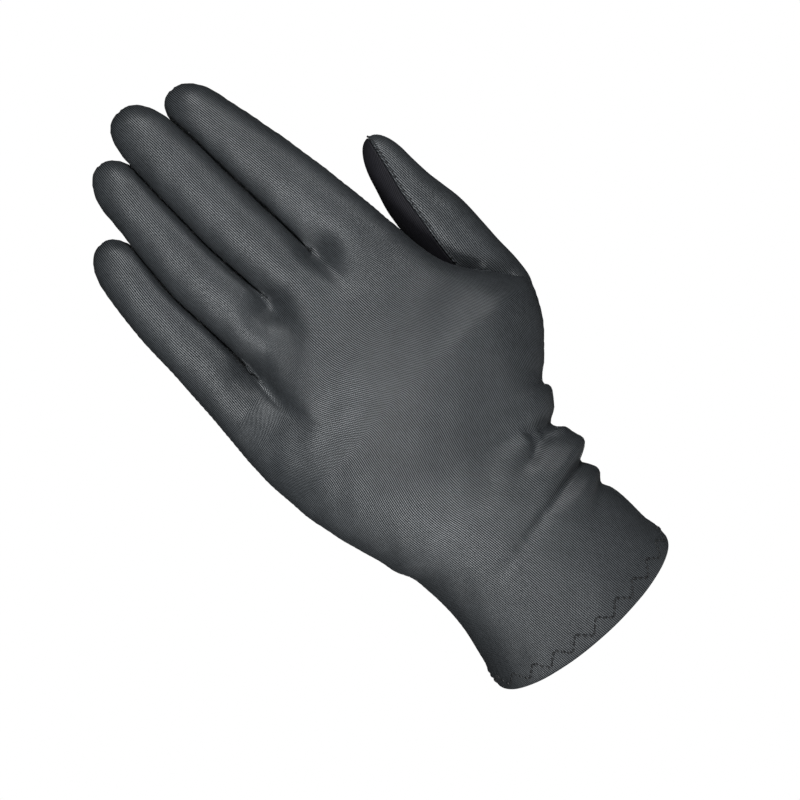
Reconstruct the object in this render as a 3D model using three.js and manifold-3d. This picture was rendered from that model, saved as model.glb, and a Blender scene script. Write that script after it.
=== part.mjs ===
// Glove liner for the left hand: a thin stretch-knit glove that keeps the form of the hand in it.
// Millimetres. +Z runs from the wrist opening to the fingertips, +X to the thumb side, and the
// back of the hand faces -Y. The origin is the centre of the wrist opening.
//
// One surface grid makes the hand and the four fingers: rings of points climb from the cuff, and
// at the finger roots the ring splits into four rings, joined by a short web between each pair.
// Each sewn panel is a set of the grid's faces, given the thickness of the knit.

import * as THREE from 'three';
import Module from 'manifold-3d';

const wasm = await Module();
wasm.setup();

// Driving sizes
const KNIT = 1.2;               // thickness of the cloth
const SEAM_GAP = 0.3;           // clearance between two sewn panels
const FINGER_GAP = 0.5;         // air between two fingers that lie together
const CUFF_WIDTH = 78.8;
const CUFF_DEPTH = 52;
const CUFF_TILT = 21;           // degrees that the wrist opening leans from the hand
const WRIST_WIDTH = 71.5;       // narrowest, above the cuff
const WRIST_DEPTH = 44;
const PALM_WIDTH = 97;          // across the knuckles
const PALM_DEPTH = 31;
const PALM_LENGTH = 150;        // wrist opening to the finger roots
const PALM_OFFSET = 15.3;       // the palm lies this far to the back of the wrist opening's centre
const THUMB_BALL = 11;          // swell of the palm below the thumb
const THUMB_DROP = 9;           // the thumb edge of the palm lies this far to the palm side
const LITTLE_DROP = 3.5;        // and the little finger's edge this far
const KNUCKLE_RUN = 30;         // the valleys between the fingers fade over this length
const WEB_RISE = 3;             // a web is this much higher than the end of its valley
const WEB_LIFT = 1.8;           // the valley's end is this much shallower than the valley
const FOLD_DEPTH = 2.6;         // deepest wrinkle at the wrist
const FOLD_BREADTH = 4;
const HEM_WIDTH = 8.5;          // cloth turned in at the cuff
const HEM_SETBACK = 0.8;        // the turned-in cloth starts this far inside the edge
const THUMB_WIDTH = 23.6;
const THUMB_DEPTH = 21.6;
const THUMB_LENGTH = 92.3;      // from its hidden root in the palm
const THUMB_BELOW = 68;         // that root lies this far below the finger roots
const THUMB_OUT = 5;            // its middle line lies this far outside the knuckles' edge
const THUMB_ROOT = PALM_LENGTH - THUMB_BELOW;
const THUMB_SIDE = PALM_WIDTH / 2 + THUMB_OUT;
const FINGER_WIDTH = 22.6;      // of the middle finger
const FINGER_DEPTH = 19.4;
const FINGER_LENGTH = 84;

// Fingers from the little finger to the index finger. width, depth and length are shares of the
// middle finger's. root, side and back place the middle of the finger's root, as shares of the
// palm's length, width and offset; tip_side and tip_back move the tip from there, as shares of
// the middle finger's width and depth.
const FINGER_SHARES = [
  { name: 'little', width: 0.903, depth: 0.866, length: 0.937, root: 0.8633, side: -0.4041,
    back: -0.758, tip_side: 0.009, tip_back: 0.129 },
  { name: 'ring', width: 0.947, depth: 0.948, length: 1.0095, root: 0.9600, side: -0.1918,
    back: -0.889, tip_side: -0.097, tip_back: 0.155 },
  { name: 'middle', width: 1.000, depth: 1.000, length: 1.000, root: 1.0267, side: 0.0320,
    back: -1.020, tip_side: -0.283, tip_back: 0.155 },
  { name: 'index', width: 1.035, depth: 0.979, length: 0.9726, root: 1.0000, side: 0.2825,
    back: -0.863, tip_side: -0.518, tip_back: 0.155 },
];
const FINGERS = FINGER_SHARES.map((share) => ({
  name: share.name,
  width: share.width * FINGER_WIDTH,
  depth: share.depth * FINGER_DEPTH,
  length: share.length * FINGER_LENGTH,
  root: share.root * PALM_LENGTH,
  side: share.side * PALM_WIDTH,
  back: share.back * PALM_OFFSET,
  tip_side: share.tip_side * FINGER_WIDTH,
  tip_back: share.tip_back * FINGER_DEPTH,
}));

// Sections of a finger. up is a share of its length, side a share of its width, and wide and
// deep are shares of its width and depth.
const FINGER_FORM = {
  little: [
    { up: 0.00, side: 0.00, wide: 1.10, deep: 1.02 },
    { up: 0.26, side: 0.01, wide: 1.08, deep: 1.00 },
    { up: 0.48, side: -0.05, wide: 0.99, deep: 1.00 },
    { up: 0.68, side: -0.06, wide: 0.95, deep: 0.97 },
    { up: 0.84, side: -0.02, wide: 0.90, deep: 0.92 },
    { up: 1.00, side: 0.00, wide: 0.78, deep: 0.80 },
  ],
  ring: [
    { up: 0.00, side: 0.00, wide: 0.99, deep: 1.04 },
    { up: 0.19, side: 0.01, wide: 1.07, deep: 1.02 },
    { up: 0.40, side: -0.07, wide: 1.03, deep: 1.00 },
    { up: 0.66, side: -0.05, wide: 0.94, deep: 0.97 },
    { up: 0.88, side: -0.02, wide: 0.86, deep: 0.90 },
    { up: 1.00, side: 0.00, wide: 0.76, deep: 0.80 },
  ],
  middle: [
    { up: 0.00, side: 0.00, wide: 0.97, deep: 1.05 },
    { up: 0.19, side: -0.02, wide: 1.01, deep: 1.02 },
    { up: 0.35, side: -0.03, wide: 1.02, deep: 1.00 },
    { up: 0.55, side: -0.02, wide: 0.99, deep: 0.98 },
    { up: 0.75, side: 0.00, wide: 0.96, deep: 0.94 },
    { up: 1.00, side: 0.00, wide: 0.84, deep: 0.80 },
  ],
  index: [
    { up: 0.00, side: 0.00, wide: 1.16, deep: 1.05 },
    { up: 0.16, side: 0.01, wide: 1.14, deep: 1.02 },
    { up: 0.33, side: 0.02, wide: 1.08, deep: 1.00 },
    { up: 0.61, side: 0.02, wide: 0.95, deep: 0.97 },
    { up: 0.86, side: 0.00, wide: 0.80, deep: 0.90 },
    { up: 1.00, side: 0.00, wide: 0.72, deep: 0.80 },
  ],
};

// Where each pair of fingers parts: up is a share of the palm's length, and front names the
// finger that lies over the other on the back of the hand.
const PARTINGS = [
  { up: 0.887, front: 1 },
  { up: 1.033, front: 2 },
  { up: 1.040, front: 2 },
];
const EDGE_UP = { little: 0.853, index: 0.967 };  // the outer edges, where the finger rows start
const CONTACT_SLOPE = 0.36;     // the faces of two fingers that touch lean by this much
const TIP_START = 0.83;         // share of a finger where its tip starts to close
const TIP_POWER = 2.4;          // roundness of a fingertip, 2 is an ellipse

// Sections of the hand from the cuff to the knuckles. up is a share of the palm's length;
// little and thumb are the half widths to each side, as shares of the named width; deep is the
// half depth; offset, tilt, drop and ball are shares of the palm's offset, the cuff's tilt, the
// thumb's drop and the thumb's ball; power is the section's roundness.
const HAND_FORM = [
  { up: 0.000, across: CUFF_WIDTH, little: 0.492, thumb: 0.508, deep: 0.500 * CUFF_DEPTH,
    offset: 0.00, tilt: 1.00, drop: 0.00, ball: 0.00, power: 2.0 },
  { up: 0.035, across: CUFF_WIDTH, little: 0.485, thumb: 0.506, deep: 0.497 * CUFF_DEPTH,
    offset: 0.12, tilt: 0.97, drop: 0.00, ball: 0.00, power: 2.0 },
  { up: 0.067, across: CUFF_WIDTH, little: 0.465, thumb: 0.490, deep: 0.486 * CUFF_DEPTH,
    offset: 0.24, tilt: 0.93, drop: 0.00, ball: 0.00, power: 2.0 },
  { up: 0.147, across: WRIST_WIDTH, little: 0.484, thumb: 0.529, deep: 0.540 * WRIST_DEPTH,
    offset: 0.48, tilt: 0.80, drop: 0.00, ball: 0.00, power: 2.05 },
  { up: 0.213, across: WRIST_WIDTH, little: 0.472, thumb: 0.523, deep: 0.510 * WRIST_DEPTH,
    offset: 0.66, tilt: 0.66, drop: 0.00, ball: 0.00, power: 2.1 },
  { up: 0.280, across: WRIST_WIDTH, little: 0.481, thumb: 0.530, deep: 0.487 * WRIST_DEPTH,
    offset: 0.79, tilt: 0.52, drop: 0.04, ball: 0.05, power: 2.15 },
  { up: 0.333, across: WRIST_WIDTH, little: 0.503, thumb: 0.543, deep: 0.466 * WRIST_DEPTH,
    offset: 0.87, tilt: 0.40, drop: 0.10, ball: 0.15, power: 2.2 },
  { up: 0.393, across: PALM_WIDTH, little: 0.407, thumb: 0.415, deep: 0.630 * PALM_DEPTH,
    offset: 0.93, tilt: 0.28, drop: 0.20, ball: 0.35, power: 2.25 },
  { up: 0.453, across: PALM_WIDTH, little: 0.438, thumb: 0.448, deep: 0.602 * PALM_DEPTH,
    offset: 0.97, tilt: 0.18, drop: 0.35, ball: 0.60, power: 2.3 },
  { up: 0.500, across: PALM_WIDTH, little: 0.461, thumb: 0.505, deep: 0.585 * PALM_DEPTH,
    offset: 0.99, tilt: 0.12, drop: 0.55, ball: 0.80, power: 2.35 },
  { up: 0.547, across: PALM_WIDTH, little: 0.481, thumb: 0.570, deep: 0.568 * PALM_DEPTH,
    offset: 1.00, tilt: 0.08, drop: 0.80, ball: 0.95, power: 2.4 },
  { up: 0.600, across: PALM_WIDTH, little: 0.500, thumb: 0.621, deep: 0.552 * PALM_DEPTH,
    offset: 1.00, tilt: 0.04, drop: 0.95, ball: 1.00, power: 2.4 },
  { up: 0.640, across: PALM_WIDTH, little: 0.509, thumb: 0.649, deep: 0.542 * PALM_DEPTH,
    offset: 1.00, tilt: 0.00, drop: 1.00, ball: 1.00, power: 2.4 },
  { up: 0.667, across: PALM_WIDTH, little: 0.515, thumb: 0.655, deep: 0.534 * PALM_DEPTH,
    offset: 1.00, tilt: 0.00, drop: 1.00, ball: 0.92, power: 2.4 },
  { up: 0.693, across: PALM_WIDTH, little: 0.520, thumb: 0.622, deep: 0.526 * PALM_DEPTH,
    offset: 0.99, tilt: 0.00, drop: 0.92, ball: 0.80, power: 2.4 },
  { up: 0.722, across: PALM_WIDTH, little: 0.524, thumb: 0.588, deep: 0.518 * PALM_DEPTH,
    offset: 0.99, tilt: 0.00, drop: 0.80, ball: 0.62, power: 2.4 },
  { up: 0.753, across: PALM_WIDTH, little: 0.526, thumb: 0.551, deep: 0.510 * PALM_DEPTH,
    offset: 0.98, tilt: 0.00, drop: 0.62, ball: 0.42, power: 2.4 },
  { up: 0.783, across: PALM_WIDTH, little: 0.528, thumb: 0.514, deep: 0.500 * PALM_DEPTH,
    offset: 0.98, tilt: 0.00, drop: 0.42, ball: 0.25, power: 2.4 },
  { up: 0.823, across: PALM_WIDTH, little: 0.528, thumb: 0.476, deep: 0.484 * PALM_DEPTH,
    offset: 0.96, tilt: 0.00, drop: 0.22, ball: 0.12, power: 2.4 },
  { up: 0.873, across: PALM_WIDTH, little: 0.526, thumb: 0.453, deep: 0.462 * PALM_DEPTH,
    offset: 0.93, tilt: 0.00, drop: 0.10, ball: 0.04, power: 2.4 },
  { up: 0.945, across: PALM_WIDTH, little: 0.521, thumb: 0.436, deep: 0.430 * PALM_DEPTH,
    offset: 0.89, tilt: 0.00, drop: 0.03, ball: 0.00, power: 2.35 },
  { up: 1.070, across: PALM_WIDTH, little: 0.516, thumb: 0.420, deep: 0.400 * PALM_DEPTH,
    offset: 0.85, tilt: 0.00, drop: 0.00, ball: 0.00, power: 2.3 },
];

// Wrinkles at the wrist, as lines over the back that run on round the thumb side. side is a
// share of half the wrist's width and up a share of the palm's length at each end; rise is a
// share of the fold's depth, below 0 for a valley; broad is a share of the fold's breadth.
const FOLDS = [
  { side: 1.12, up: 0.266, to_side: 0.55, to_up: 0.238, rise: -1.00, to_rise: -0.75, broad: 0.90 },
  { side: 0.55, up: 0.238, to_side: -0.12, to_up: 0.209, rise: -0.75, to_rise: 0.00, broad: 1.05 },
  { side: 1.12, up: 0.226, to_side: 0.20, to_up: 0.185, rise: 0.35, to_rise: 0.00, broad: 1.10 },
  { side: 1.12, up: 0.318, to_side: 0.10, to_up: 0.290, rise: 0.75, to_rise: 0.00, broad: 1.30 },
  { side: 1.15, up: 0.366, to_side: 0.86, to_up: 0.392, rise: -1.35, to_rise: -0.45, broad: 0.75 },
  { side: 1.02, up: 0.350, to_side: 0.25, to_up: 0.352, rise: -0.45, to_rise: 0.00, broad: 1.05 },
  { side: 1.25, up: 0.437, to_side: 0.62, to_up: 0.456, rise: 0.85, to_rise: 0.00, broad: 1.25 },
  { side: 0.62, up: 0.415, to_side: 0.05, to_up: 0.428, rise: -0.35, to_rise: 0.00, broad: 1.20 },
  { side: 1.28, up: 0.476, to_side: 1.02, to_up: 0.545, rise: -0.55, to_rise: 0.00, broad: 0.80 },
  { side: 1.10, up: 0.196, to_side: 0.55, to_up: 0.160, rise: -0.35, to_rise: 0.00, broad: 1.05 },
];

// Sections of the thumb. up is a share of its length; side and back are shares of its width and
// depth; wide and deep are its half width and depth over half the named ones; seam is the angle
// in degrees from the back of the thumb to its seam.
const THUMB_FORM = [
  { up: 0.00, side: -0.38, back: -0.24, wide: 0.70, deep: 0.76, seam: 34 },
  { up: 0.09, side: -0.19, back: -0.03, wide: 0.90, deep: 0.92, seam: 34 },
  { up: 0.18, side: -0.02, back: 0.12, wide: 1.03, deep: 1.00, seam: 34 },
  { up: 0.27, side: 0.03, back: 0.17, wide: 1.03, deep: 1.00, seam: 34 },
  { up: 0.40, side: 0.045, back: 0.14, wide: 0.99, deep: 0.97, seam: 33 },
  { up: 0.52, side: 0.035, back: 0.10, wide: 1.00, deep: 0.96, seam: 27 },
  { up: 0.61, side: 0.025, back: 0.06, wide: 0.99, deep: 0.93, seam: 21 },
  { up: 0.68, side: 0.01, back: 0.04, wide: 0.92, deep: 0.89, seam: 17 },
  { up: 0.75, side: 0.00, back: 0.02, wide: 0.83, deep: 0.84, seam: 14 },
  { up: 0.84, side: 0.03, back: 0.00, wide: 0.71, deep: 0.74, seam: 10 },
  { up: 1.00, side: 0.09, back: -0.02, wide: 0.52, deep: 0.58, seam: 3 },
];
const THUMB_TIP_START = 0.86;

// How finely the grid is drawn
const ROWS_UP = [
  0.000, 0.030, 0.067, 0.105, 0.140, 0.165, 0.187, 0.205, 0.222, 0.239, 0.256, 0.273, 0.292,
  0.311, 0.330, 0.346, 0.360, 0.374, 0.390, 0.410, 0.432, 0.455, 0.480, 0.510, 0.547, 0.590,
  0.630, 0.667, 0.700, 0.735, 0.770, 0.810, 0.850, 0.895, 0.945, 1.000,
];
const LEVEL_UP = 0.590;         // rows above this height follow the slant of the finger roots
const ACROSS_FINGER = 4;        // faces over the back of a finger
const ROUND_SIDE = 4;           // faces round the side of a finger
const SIDE_ANGLE = 32;          // degrees from a finger's side to where its back starts
const FINGER_ROWS = [0.05, 0.13, 0.24, 0.36, 0.48, 0.60, 0.72, 0.83];
const TIP_ANGLES = [20, 40, 58, 74];
const THUMB_SIDES = 18;
const THUMB_ROWS = [0.00, 0.09, 0.18, 0.26, 0.34, 0.43, 0.52, 0.60, 0.68, 0.77, 0.86];
const CLEAN_CUT = 10;           // a cutting solid runs past the cloth by this much
const FRONTS_UP = 0.775;        // the palm's cloth meets that of the finger fronts at this height

const radians = THREE.MathUtils.degToRad;
const lerp = THREE.MathUtils.lerp;
const smoothstep = THREE.MathUtils.smoothstep;

// Smooth value of a table's column at a height, through its rows
function smoothColumn(table, column, up) {
  const last = table.length - 1;
  if (up <= table[0].up) return table[0][column];
  if (up >= table[last].up) return table[last][column];
  const i = table.findIndex((row) => row.up > up) - 1;
  const slope = (k) => {
    const a = table[Math.max(k - 1, 0)];
    const b = table[Math.min(k + 1, last)];
    return (b[column] - a[column]) / (b.up - a.up);
  };
  const low = table[i];
  const high = table[i + 1];
  const run = high.up - low.up;
  const t = (up - low.up) / run;
  return (2 * t ** 3 - 3 * t ** 2 + 1) * low[column] + (t ** 3 - 2 * t ** 2 + t) * run * slope(i)
    + (3 * t ** 2 - 2 * t ** 3) * high[column] + (t ** 3 - t ** 2) * run * slope(i + 1);
}

const signedPower = (value, power) => Math.sign(value) * Math.abs(value) ** power;

// The smaller of two values, with the corner where they meet rounded over a span
function softMin(a, b, span) {
  const near = Math.max(span - Math.abs(a - b), 0) / span;
  return Math.min(a, b) - near * near * span / 4;
}

// The share of its full width that a tip has at a height, 1 where the tip starts and 0 at its end
function tipShare(up, start) {
  const reach = THREE.MathUtils.clamp((up - start) / (1 - start), 0, 1);
  return (1 - reach ** TIP_POWER) ** (1 / TIP_POWER);
}

// Middle and half sizes of a finger at a height z
function fingerSection(finger, z) {
  const up = (z - finger.root) / finger.length;
  const form = FINGER_FORM[finger.name];
  const share = tipShare(up, TIP_START);
  return {
    x: finger.side + finger.tip_side * up + smoothColumn(form, 'side', up) * finger.width,
    y: finger.back + finger.tip_back * up * up,
    wide: smoothColumn(form, 'wide', up) * finger.width / 2 * share,
    deep: smoothColumn(form, 'deep', up) * finger.depth / 2 * share,
  };
}

const FINGER_POWER = 2.15;
const CONTACT_ROUND = 1.2;      // rounding where two fingers start to touch

// A point on a finger's outside at an angle from its thumb side, 90 degrees being its back.
// Where it lies against another finger it stays on its own side of a leaning plane.
function fingerPoint(k, degrees, z) {
  const own = fingerSection(FINGERS[k], z);
  const angle = radians(degrees);
  let x = own.x + own.wide * signedPower(Math.cos(angle), 2 / FINGER_POWER);
  const y = own.y - own.deep * signedPower(Math.sin(angle), 2 / FINGER_POWER);
  for (const side of [-1, 1]) {
    const pair = side < 0 ? k - 1 : k;
    if (pair < 0 || pair > 2) continue;
    const front = PARTINGS[pair].front;
    const over = fingerSection(FINGERS[front], z);
    const faces = front === pair ? 1 : -1;
    const plane = over.x + faces * (over.wide - CONTACT_SLOPE * (y - over.y));
    x = side * softMin(side * x, side * plane - FINGER_GAP / 2, CONTACT_ROUND);
  }
  return new THREE.Vector3(x, y, z);
}

// Angles of the points round a finger: over the back, down the thumb side, over the palm, and
// up the other side. A column past the first side is half the points round on.
const BACK_RUN = 180 - 2 * SIDE_ANGLE;
const fingerAngles = [];
for (let i = 0; i <= ACROSS_FINGER; i++) {
  fingerAngles.push(180 - SIDE_ANGLE - BACK_RUN * i / ACROSS_FINGER);
}
for (let i = 1; i < ROUND_SIDE; i++) {
  fingerAngles.push(SIDE_ANGLE - 2 * SIDE_ANGLE * i / ROUND_SIDE);
}
for (let i = 0; i <= ACROSS_FINGER; i++) {
  fingerAngles.push(-SIDE_ANGLE - BACK_RUN * i / ACROSS_FINGER);
}
for (let i = 1; i < ROUND_SIDE; i++) {
  fingerAngles.push(-180 + SIDE_ANGLE - 2 * SIDE_ANGLE * i / ROUND_SIDE);
}

// Columns of the hand's ring: over the back from the little finger to the index finger, round
// the thumb side, back over the palm, and round the little finger's side.
const OVER_BACK = 4 * ACROSS_FINGER + 1;
const INNER_SIDE = ROUND_SIDE - 1;
const RING = 2 * (OVER_BACK + INNER_SIDE);

// The finger, the height of the root and the angle on the finger that a column of the hand has
function rootOf(column) {
  const palm = column >= OVER_BACK + INNER_SIDE;
  const place = palm ? column - OVER_BACK - INNER_SIDE : column;
  const heights = [
    EDGE_UP.little, PARTINGS[0].up, PARTINGS[1].up, PARTINGS[2].up, EDGE_UP.index,
  ].map((share) => share * PALM_LENGTH);
  if (place >= OVER_BACK) {
    const i = place - OVER_BACK + 1;
    const turn = SIDE_ANGLE - 2 * SIDE_ANGLE * i / ROUND_SIDE;
    return palm
      ? { fingers: [0], angles: [180 + turn], z: heights[0] }
      : { fingers: [3], angles: [turn], z: heights[4] };
  }
  const over = palm ? OVER_BACK - 1 - place : place;
  const k = Math.min(Math.floor(over / ACROSS_FINGER), 3);
  const i = over - k * ACROSS_FINGER;
  const z = lerp(heights[k], heights[k + 1], i / ACROSS_FINGER);
  const sign = palm ? -1 : 1;
  if (i === 0 && k > 0) {
    return { fingers: [k - 1, k], angles: [sign * SIDE_ANGLE, sign * (180 - SIDE_ANGLE)], z };
  }
  return { fingers: [k], angles: [sign * (180 - SIDE_ANGLE - BACK_RUN * i / ACROSS_FINGER)], z };
}

function meanPoint(fingers, angles, z) {
  const sum = new THREE.Vector3();
  fingers.forEach((k, i) => sum.add(fingerPoint(k, angles[i], z)));
  return sum.divideScalar(fingers.length);
}

const roots = [];
for (let c = 0; c < RING; c++) {
  const root = rootOf(c);
  root.point = meanPoint(root.fingers, root.angles, root.z);
  if (root.fingers.length > 1) root.point.y -= WEB_LIFT * Math.sign(root.angles[0]);
  roots.push(root);
}
const rootEdges = {
  low: Math.min(...roots.map((root) => root.point.x)),
  high: Math.max(...roots.map((root) => root.point.x)),
};

// Where a column lies across the hand, from -1 at the little finger's edge to 1 at the thumb's
const acrossOf = roots.map((root) => lerp(
  -1, 1, (root.point.x - rootEdges.low) / (rootEdges.high - rootEdges.low)));

// Angle of a column round the hand's section
function handAngle(column) {
  const side = column % (OVER_BACK + INNER_SIDE) - OVER_BACK + 1;
  const palm = column >= OVER_BACK + INNER_SIDE;
  if (side > 0) {
    const from = Math.acos(Math.min(Math.abs(acrossOf[palm ? 0 : OVER_BACK - 1]), 1));
    const turn = lerp(from, -from, side / ROUND_SIDE);
    return palm ? Math.PI + turn : turn;
  }
  const angle = Math.acos(THREE.MathUtils.clamp(acrossOf[column], -1, 1));
  return palm ? -angle : angle;
}
const handAngles = roots.map((root, column) => handAngle(column));

// How far the wrinkles lift the cloth at a place on the hand
function foldRise(x, z) {
  let rise = 0;
  for (const fold of FOLDS) {
    const from = [fold.side * WRIST_WIDTH / 2, fold.up * PALM_LENGTH];
    const to = [fold.to_side * WRIST_WIDTH / 2, fold.to_up * PALM_LENGTH];
    const run = [to[0] - from[0], to[1] - from[1]];
    const length = Math.hypot(...run);
    const along = ((x - from[0]) * run[0] + (z - from[1]) * run[1]) / length;
    const off = ((x - from[0]) * run[1] - (z - from[1]) * run[0]) / length;
    const beyond = Math.max(-along, along - length, 0);
    const away = Math.hypot(off, beyond) / (fold.broad * FOLD_BREADTH);
    const t = THREE.MathUtils.clamp(along / length, 0, 1);
    rise += lerp(fold.rise, fold.to_rise, t) * FOLD_DEPTH * Math.exp(-away * away);
  }
  return rise;
}

// The thumb's ball lies at this share of the half width, and spreads over this share
const BALL_PLACE = 0.55;
const BALL_SPREAD = 0.4;
// The little finger's edge drops between these shares of the palm's length
const LITTLE_DROP_FROM = 0.35;
const LITTLE_DROP_TO = 0.8;

// A point of the hand's smooth form at a height, without the valleys between the fingers
function handForm(column, z) {
  const up = z / PALM_LENGTH;
  const value = (name) => smoothColumn(HAND_FORM, name, up);
  const low = -value('little') * smoothColumn(HAND_FORM, 'across', up);
  const high = value('thumb') * smoothColumn(HAND_FORM, 'across', up);
  const angle = handAngles[column];
  const power = value('power');
  const cosine = Math.cos(angle);
  const sine = (1 - Math.abs(cosine) ** power) ** (1 / power);
  const x = (low + high) / 2 + (high - low) / 2 * cosine;
  const toThumb = Math.max(cosine, 0);
  const toLittle = Math.max(-cosine, 0);
  const onPalm = Math.sin(angle) < 0;
  const swell = Math.exp(-(((cosine - BALL_PLACE) / BALL_SPREAD) ** 2));
  const ball = onPalm ? value('ball') * THUMB_BALL * swell : 0;
  const lift = value('deep') * sine * (onPalm ? 1 : -1) + ball * sine;
  const middle = -value('offset') * PALM_OFFSET + value('drop') * THUMB_DROP * toThumb ** 2
    + smoothstep(up, LITTLE_DROP_FROM, LITTLE_DROP_TO) * LITTLE_DROP * toLittle ** 2;
  const tilt = radians(value('tilt') * CUFF_TILT);
  const point = new THREE.Vector3(x, middle + lift * Math.cos(tilt), z + lift * Math.sin(tilt));
  const out = new THREE.Vector3(Math.cos(angle), -Math.sin(angle), 0);
  const onBack = onPalm ? smoothstep(cosine, 0.25, 0.9) : 1;
  return point.addScaledVector(out, foldRise(x, point.z) * onBack);
}

// A point of the hand, with the valleys between the fingers sunk in towards their roots
function handPoint(column, up) {
  const root = roots[column];
  const level = LEVEL_UP * PALM_LENGTH;
  const z = up <= LEVEL_UP
    ? up * PALM_LENGTH
    : lerp(level, root.z, (up - LEVEL_UP) / (1 - LEVEL_UP));
  const sunk = smoothstep(z, root.z - KNUCKLE_RUN, root.z);
  const shift = root.point.clone().sub(handForm(column, root.z)).multiplyScalar(sunk * sunk);
  return handForm(column, z).add(shift);
}

// The grid
const points = [];
const faces = [];
const seamPoints = new Set();

function addPoint(point) {
  points.push(point);
  return points.length - 1;
}

// Faces between two rings of point numbers, each marked with what tells its panel
function addBand(lower, upper, isBack) {
  for (let c = 0; c < lower.length; c++) {
    const d = (c + 1) % lower.length;
    faces.push({ corners: [lower[c], lower[d], upper[d], upper[c]], back: isBack(c) });
  }
}

// The side seam runs up the middle column of each side of a ring
const handSeams = [OVER_BACK - 1 + ROUND_SIDE / 2, RING - ROUND_SIDE / 2];
const handIsBack = (c) => c < handSeams[0] || c >= handSeams[1];
const handRings = ROWS_UP.map((up) => roots.map((root, c) => addPoint(handPoint(c, up))));
for (const ring of handRings) {
  handSeams.forEach((c) => seamPoints.add(ring[c]));
}
for (let r = 1; r < handRings.length; r++) {
  addBand(handRings[r - 1], handRings[r], handIsBack);
}

// Webs: the points between two fingers, from the end of the valley on the back to the palm's
const webs = PARTINGS.map((parting, k) => {
  const web = [];
  for (let i = 1; i < ROUND_SIDE; i++) {
    const turn = SIDE_ANGLE - 2 * SIDE_ANGLE * i / ROUND_SIDE;
    const z = parting.up * PALM_LENGTH + WEB_RISE * Math.sin(Math.PI * i / ROUND_SIDE);
    web.push(addPoint(meanPoint([k, k + 1], [turn, 180 - turn], z)));
  }
  seamPoints.add(web[ROUND_SIDE / 2 - 1]);
  return web;
});

const BLEND_RUN = 12;           // a finger takes its own form over this length above its root
const rootRing = handRings[handRings.length - 1];
const palmStart = OVER_BACK + INNER_SIDE;
const fingerSeams = [ACROSS_FINGER + ROUND_SIDE / 2, fingerAngles.length - ROUND_SIDE / 2];
const fingerIsBack = (c) => c < fingerSeams[0] || c >= fingerSeams[1];

FINGERS.forEach((finger, k) => {
  const ring = rootRing.slice(k * ACROSS_FINGER, (k + 1) * ACROSS_FINGER + 1);
  ring.push(...(k === 3 ? rootRing.slice(OVER_BACK, palmStart) : webs[k]));
  const palmFrom = palmStart + (3 - k) * ACROSS_FINGER;
  ring.push(...rootRing.slice(palmFrom, palmFrom + ACROSS_FINGER + 1));
  ring.push(...(k === 0 ? rootRing.slice(palmStart + OVER_BACK) : [...webs[k - 1]].reverse()));

  const starts = ring.map((number) => points[number].z);
  const shifts = ring.map((number, c) => (
    points[number].clone().sub(fingerPoint(k, fingerAngles[c], starts[c]))));
  const top = finger.root + finger.length;
  const tipFoot = finger.root + TIP_START * finger.length;
  const heights = (c) => [
    ...FINGER_ROWS.map((share) => lerp(starts[c], tipFoot, share / TIP_START)),
    ...TIP_ANGLES.map((degrees) => lerp(tipFoot, top, Math.sin(radians(degrees)))),
  ];
  const columns = ring.map((number, c) => heights(c).map((z) => {
    const left = Math.max(1 - (z - starts[c]) / BLEND_RUN, 0);
    return addPoint(fingerPoint(k, fingerAngles[c], z).addScaledVector(shifts[c], left * left));
  }));
  let lower = ring;
  for (let r = 0; r < columns[0].length; r++) {
    const upper = columns.map((column) => column[r]);
    fingerSeams.forEach((c) => seamPoints.add(upper[c]));
    addBand(lower, upper, fingerIsBack);
    lower = upper;
  }
  const end = fingerSection(finger, top);
  const pole = addPoint(new THREE.Vector3(end.x, end.y, top));
  seamPoints.add(pole);
  for (let c = 0; c < lower.length; c++) {
    const d = (c + 1) % lower.length;
    faces.push({ corners: [lower[c], lower[d], pole], back: fingerIsBack(c) });
  }
});

// Outward direction at each point, from the faces round it
function outwardAt(meshPoints, meshFaces) {
  const out = meshPoints.map(() => new THREE.Vector3());
  for (const face of meshFaces) {
    const corners = face.corners.map((number) => meshPoints[number]);
    const a = corners[2].clone().sub(corners[0]);
    const b = corners[corners.length - 1].clone().sub(corners[1]);
    const normal = a.cross(b).normalize();
    face.corners.forEach((number) => out[number].add(normal));
  }
  return out.map((direction) => direction.normalize());
}

const outward = outwardAt(points, faces);

// Which way a seam's points move to open the seam: into the back panel, along the cloth
function seamShifts(meshPoints, meshFaces, seams) {
  const shifts = new Map([...seams].map((number) => [number, new THREE.Vector3()]));
  for (const face of meshFaces) {
    for (const number of face.corners.filter((corner) => seams.has(corner))) {
      for (const other of face.corners.filter((corner) => !seams.has(corner))) {
        const way = meshPoints[other].clone().sub(meshPoints[number]).normalize();
        shifts.get(number).addScaledVector(way, face.back ? 1 : -1);
      }
    }
  }
  shifts.forEach((shift) => shift.setLength(SEAM_GAP / 2));
  return shifts;
}

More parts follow.
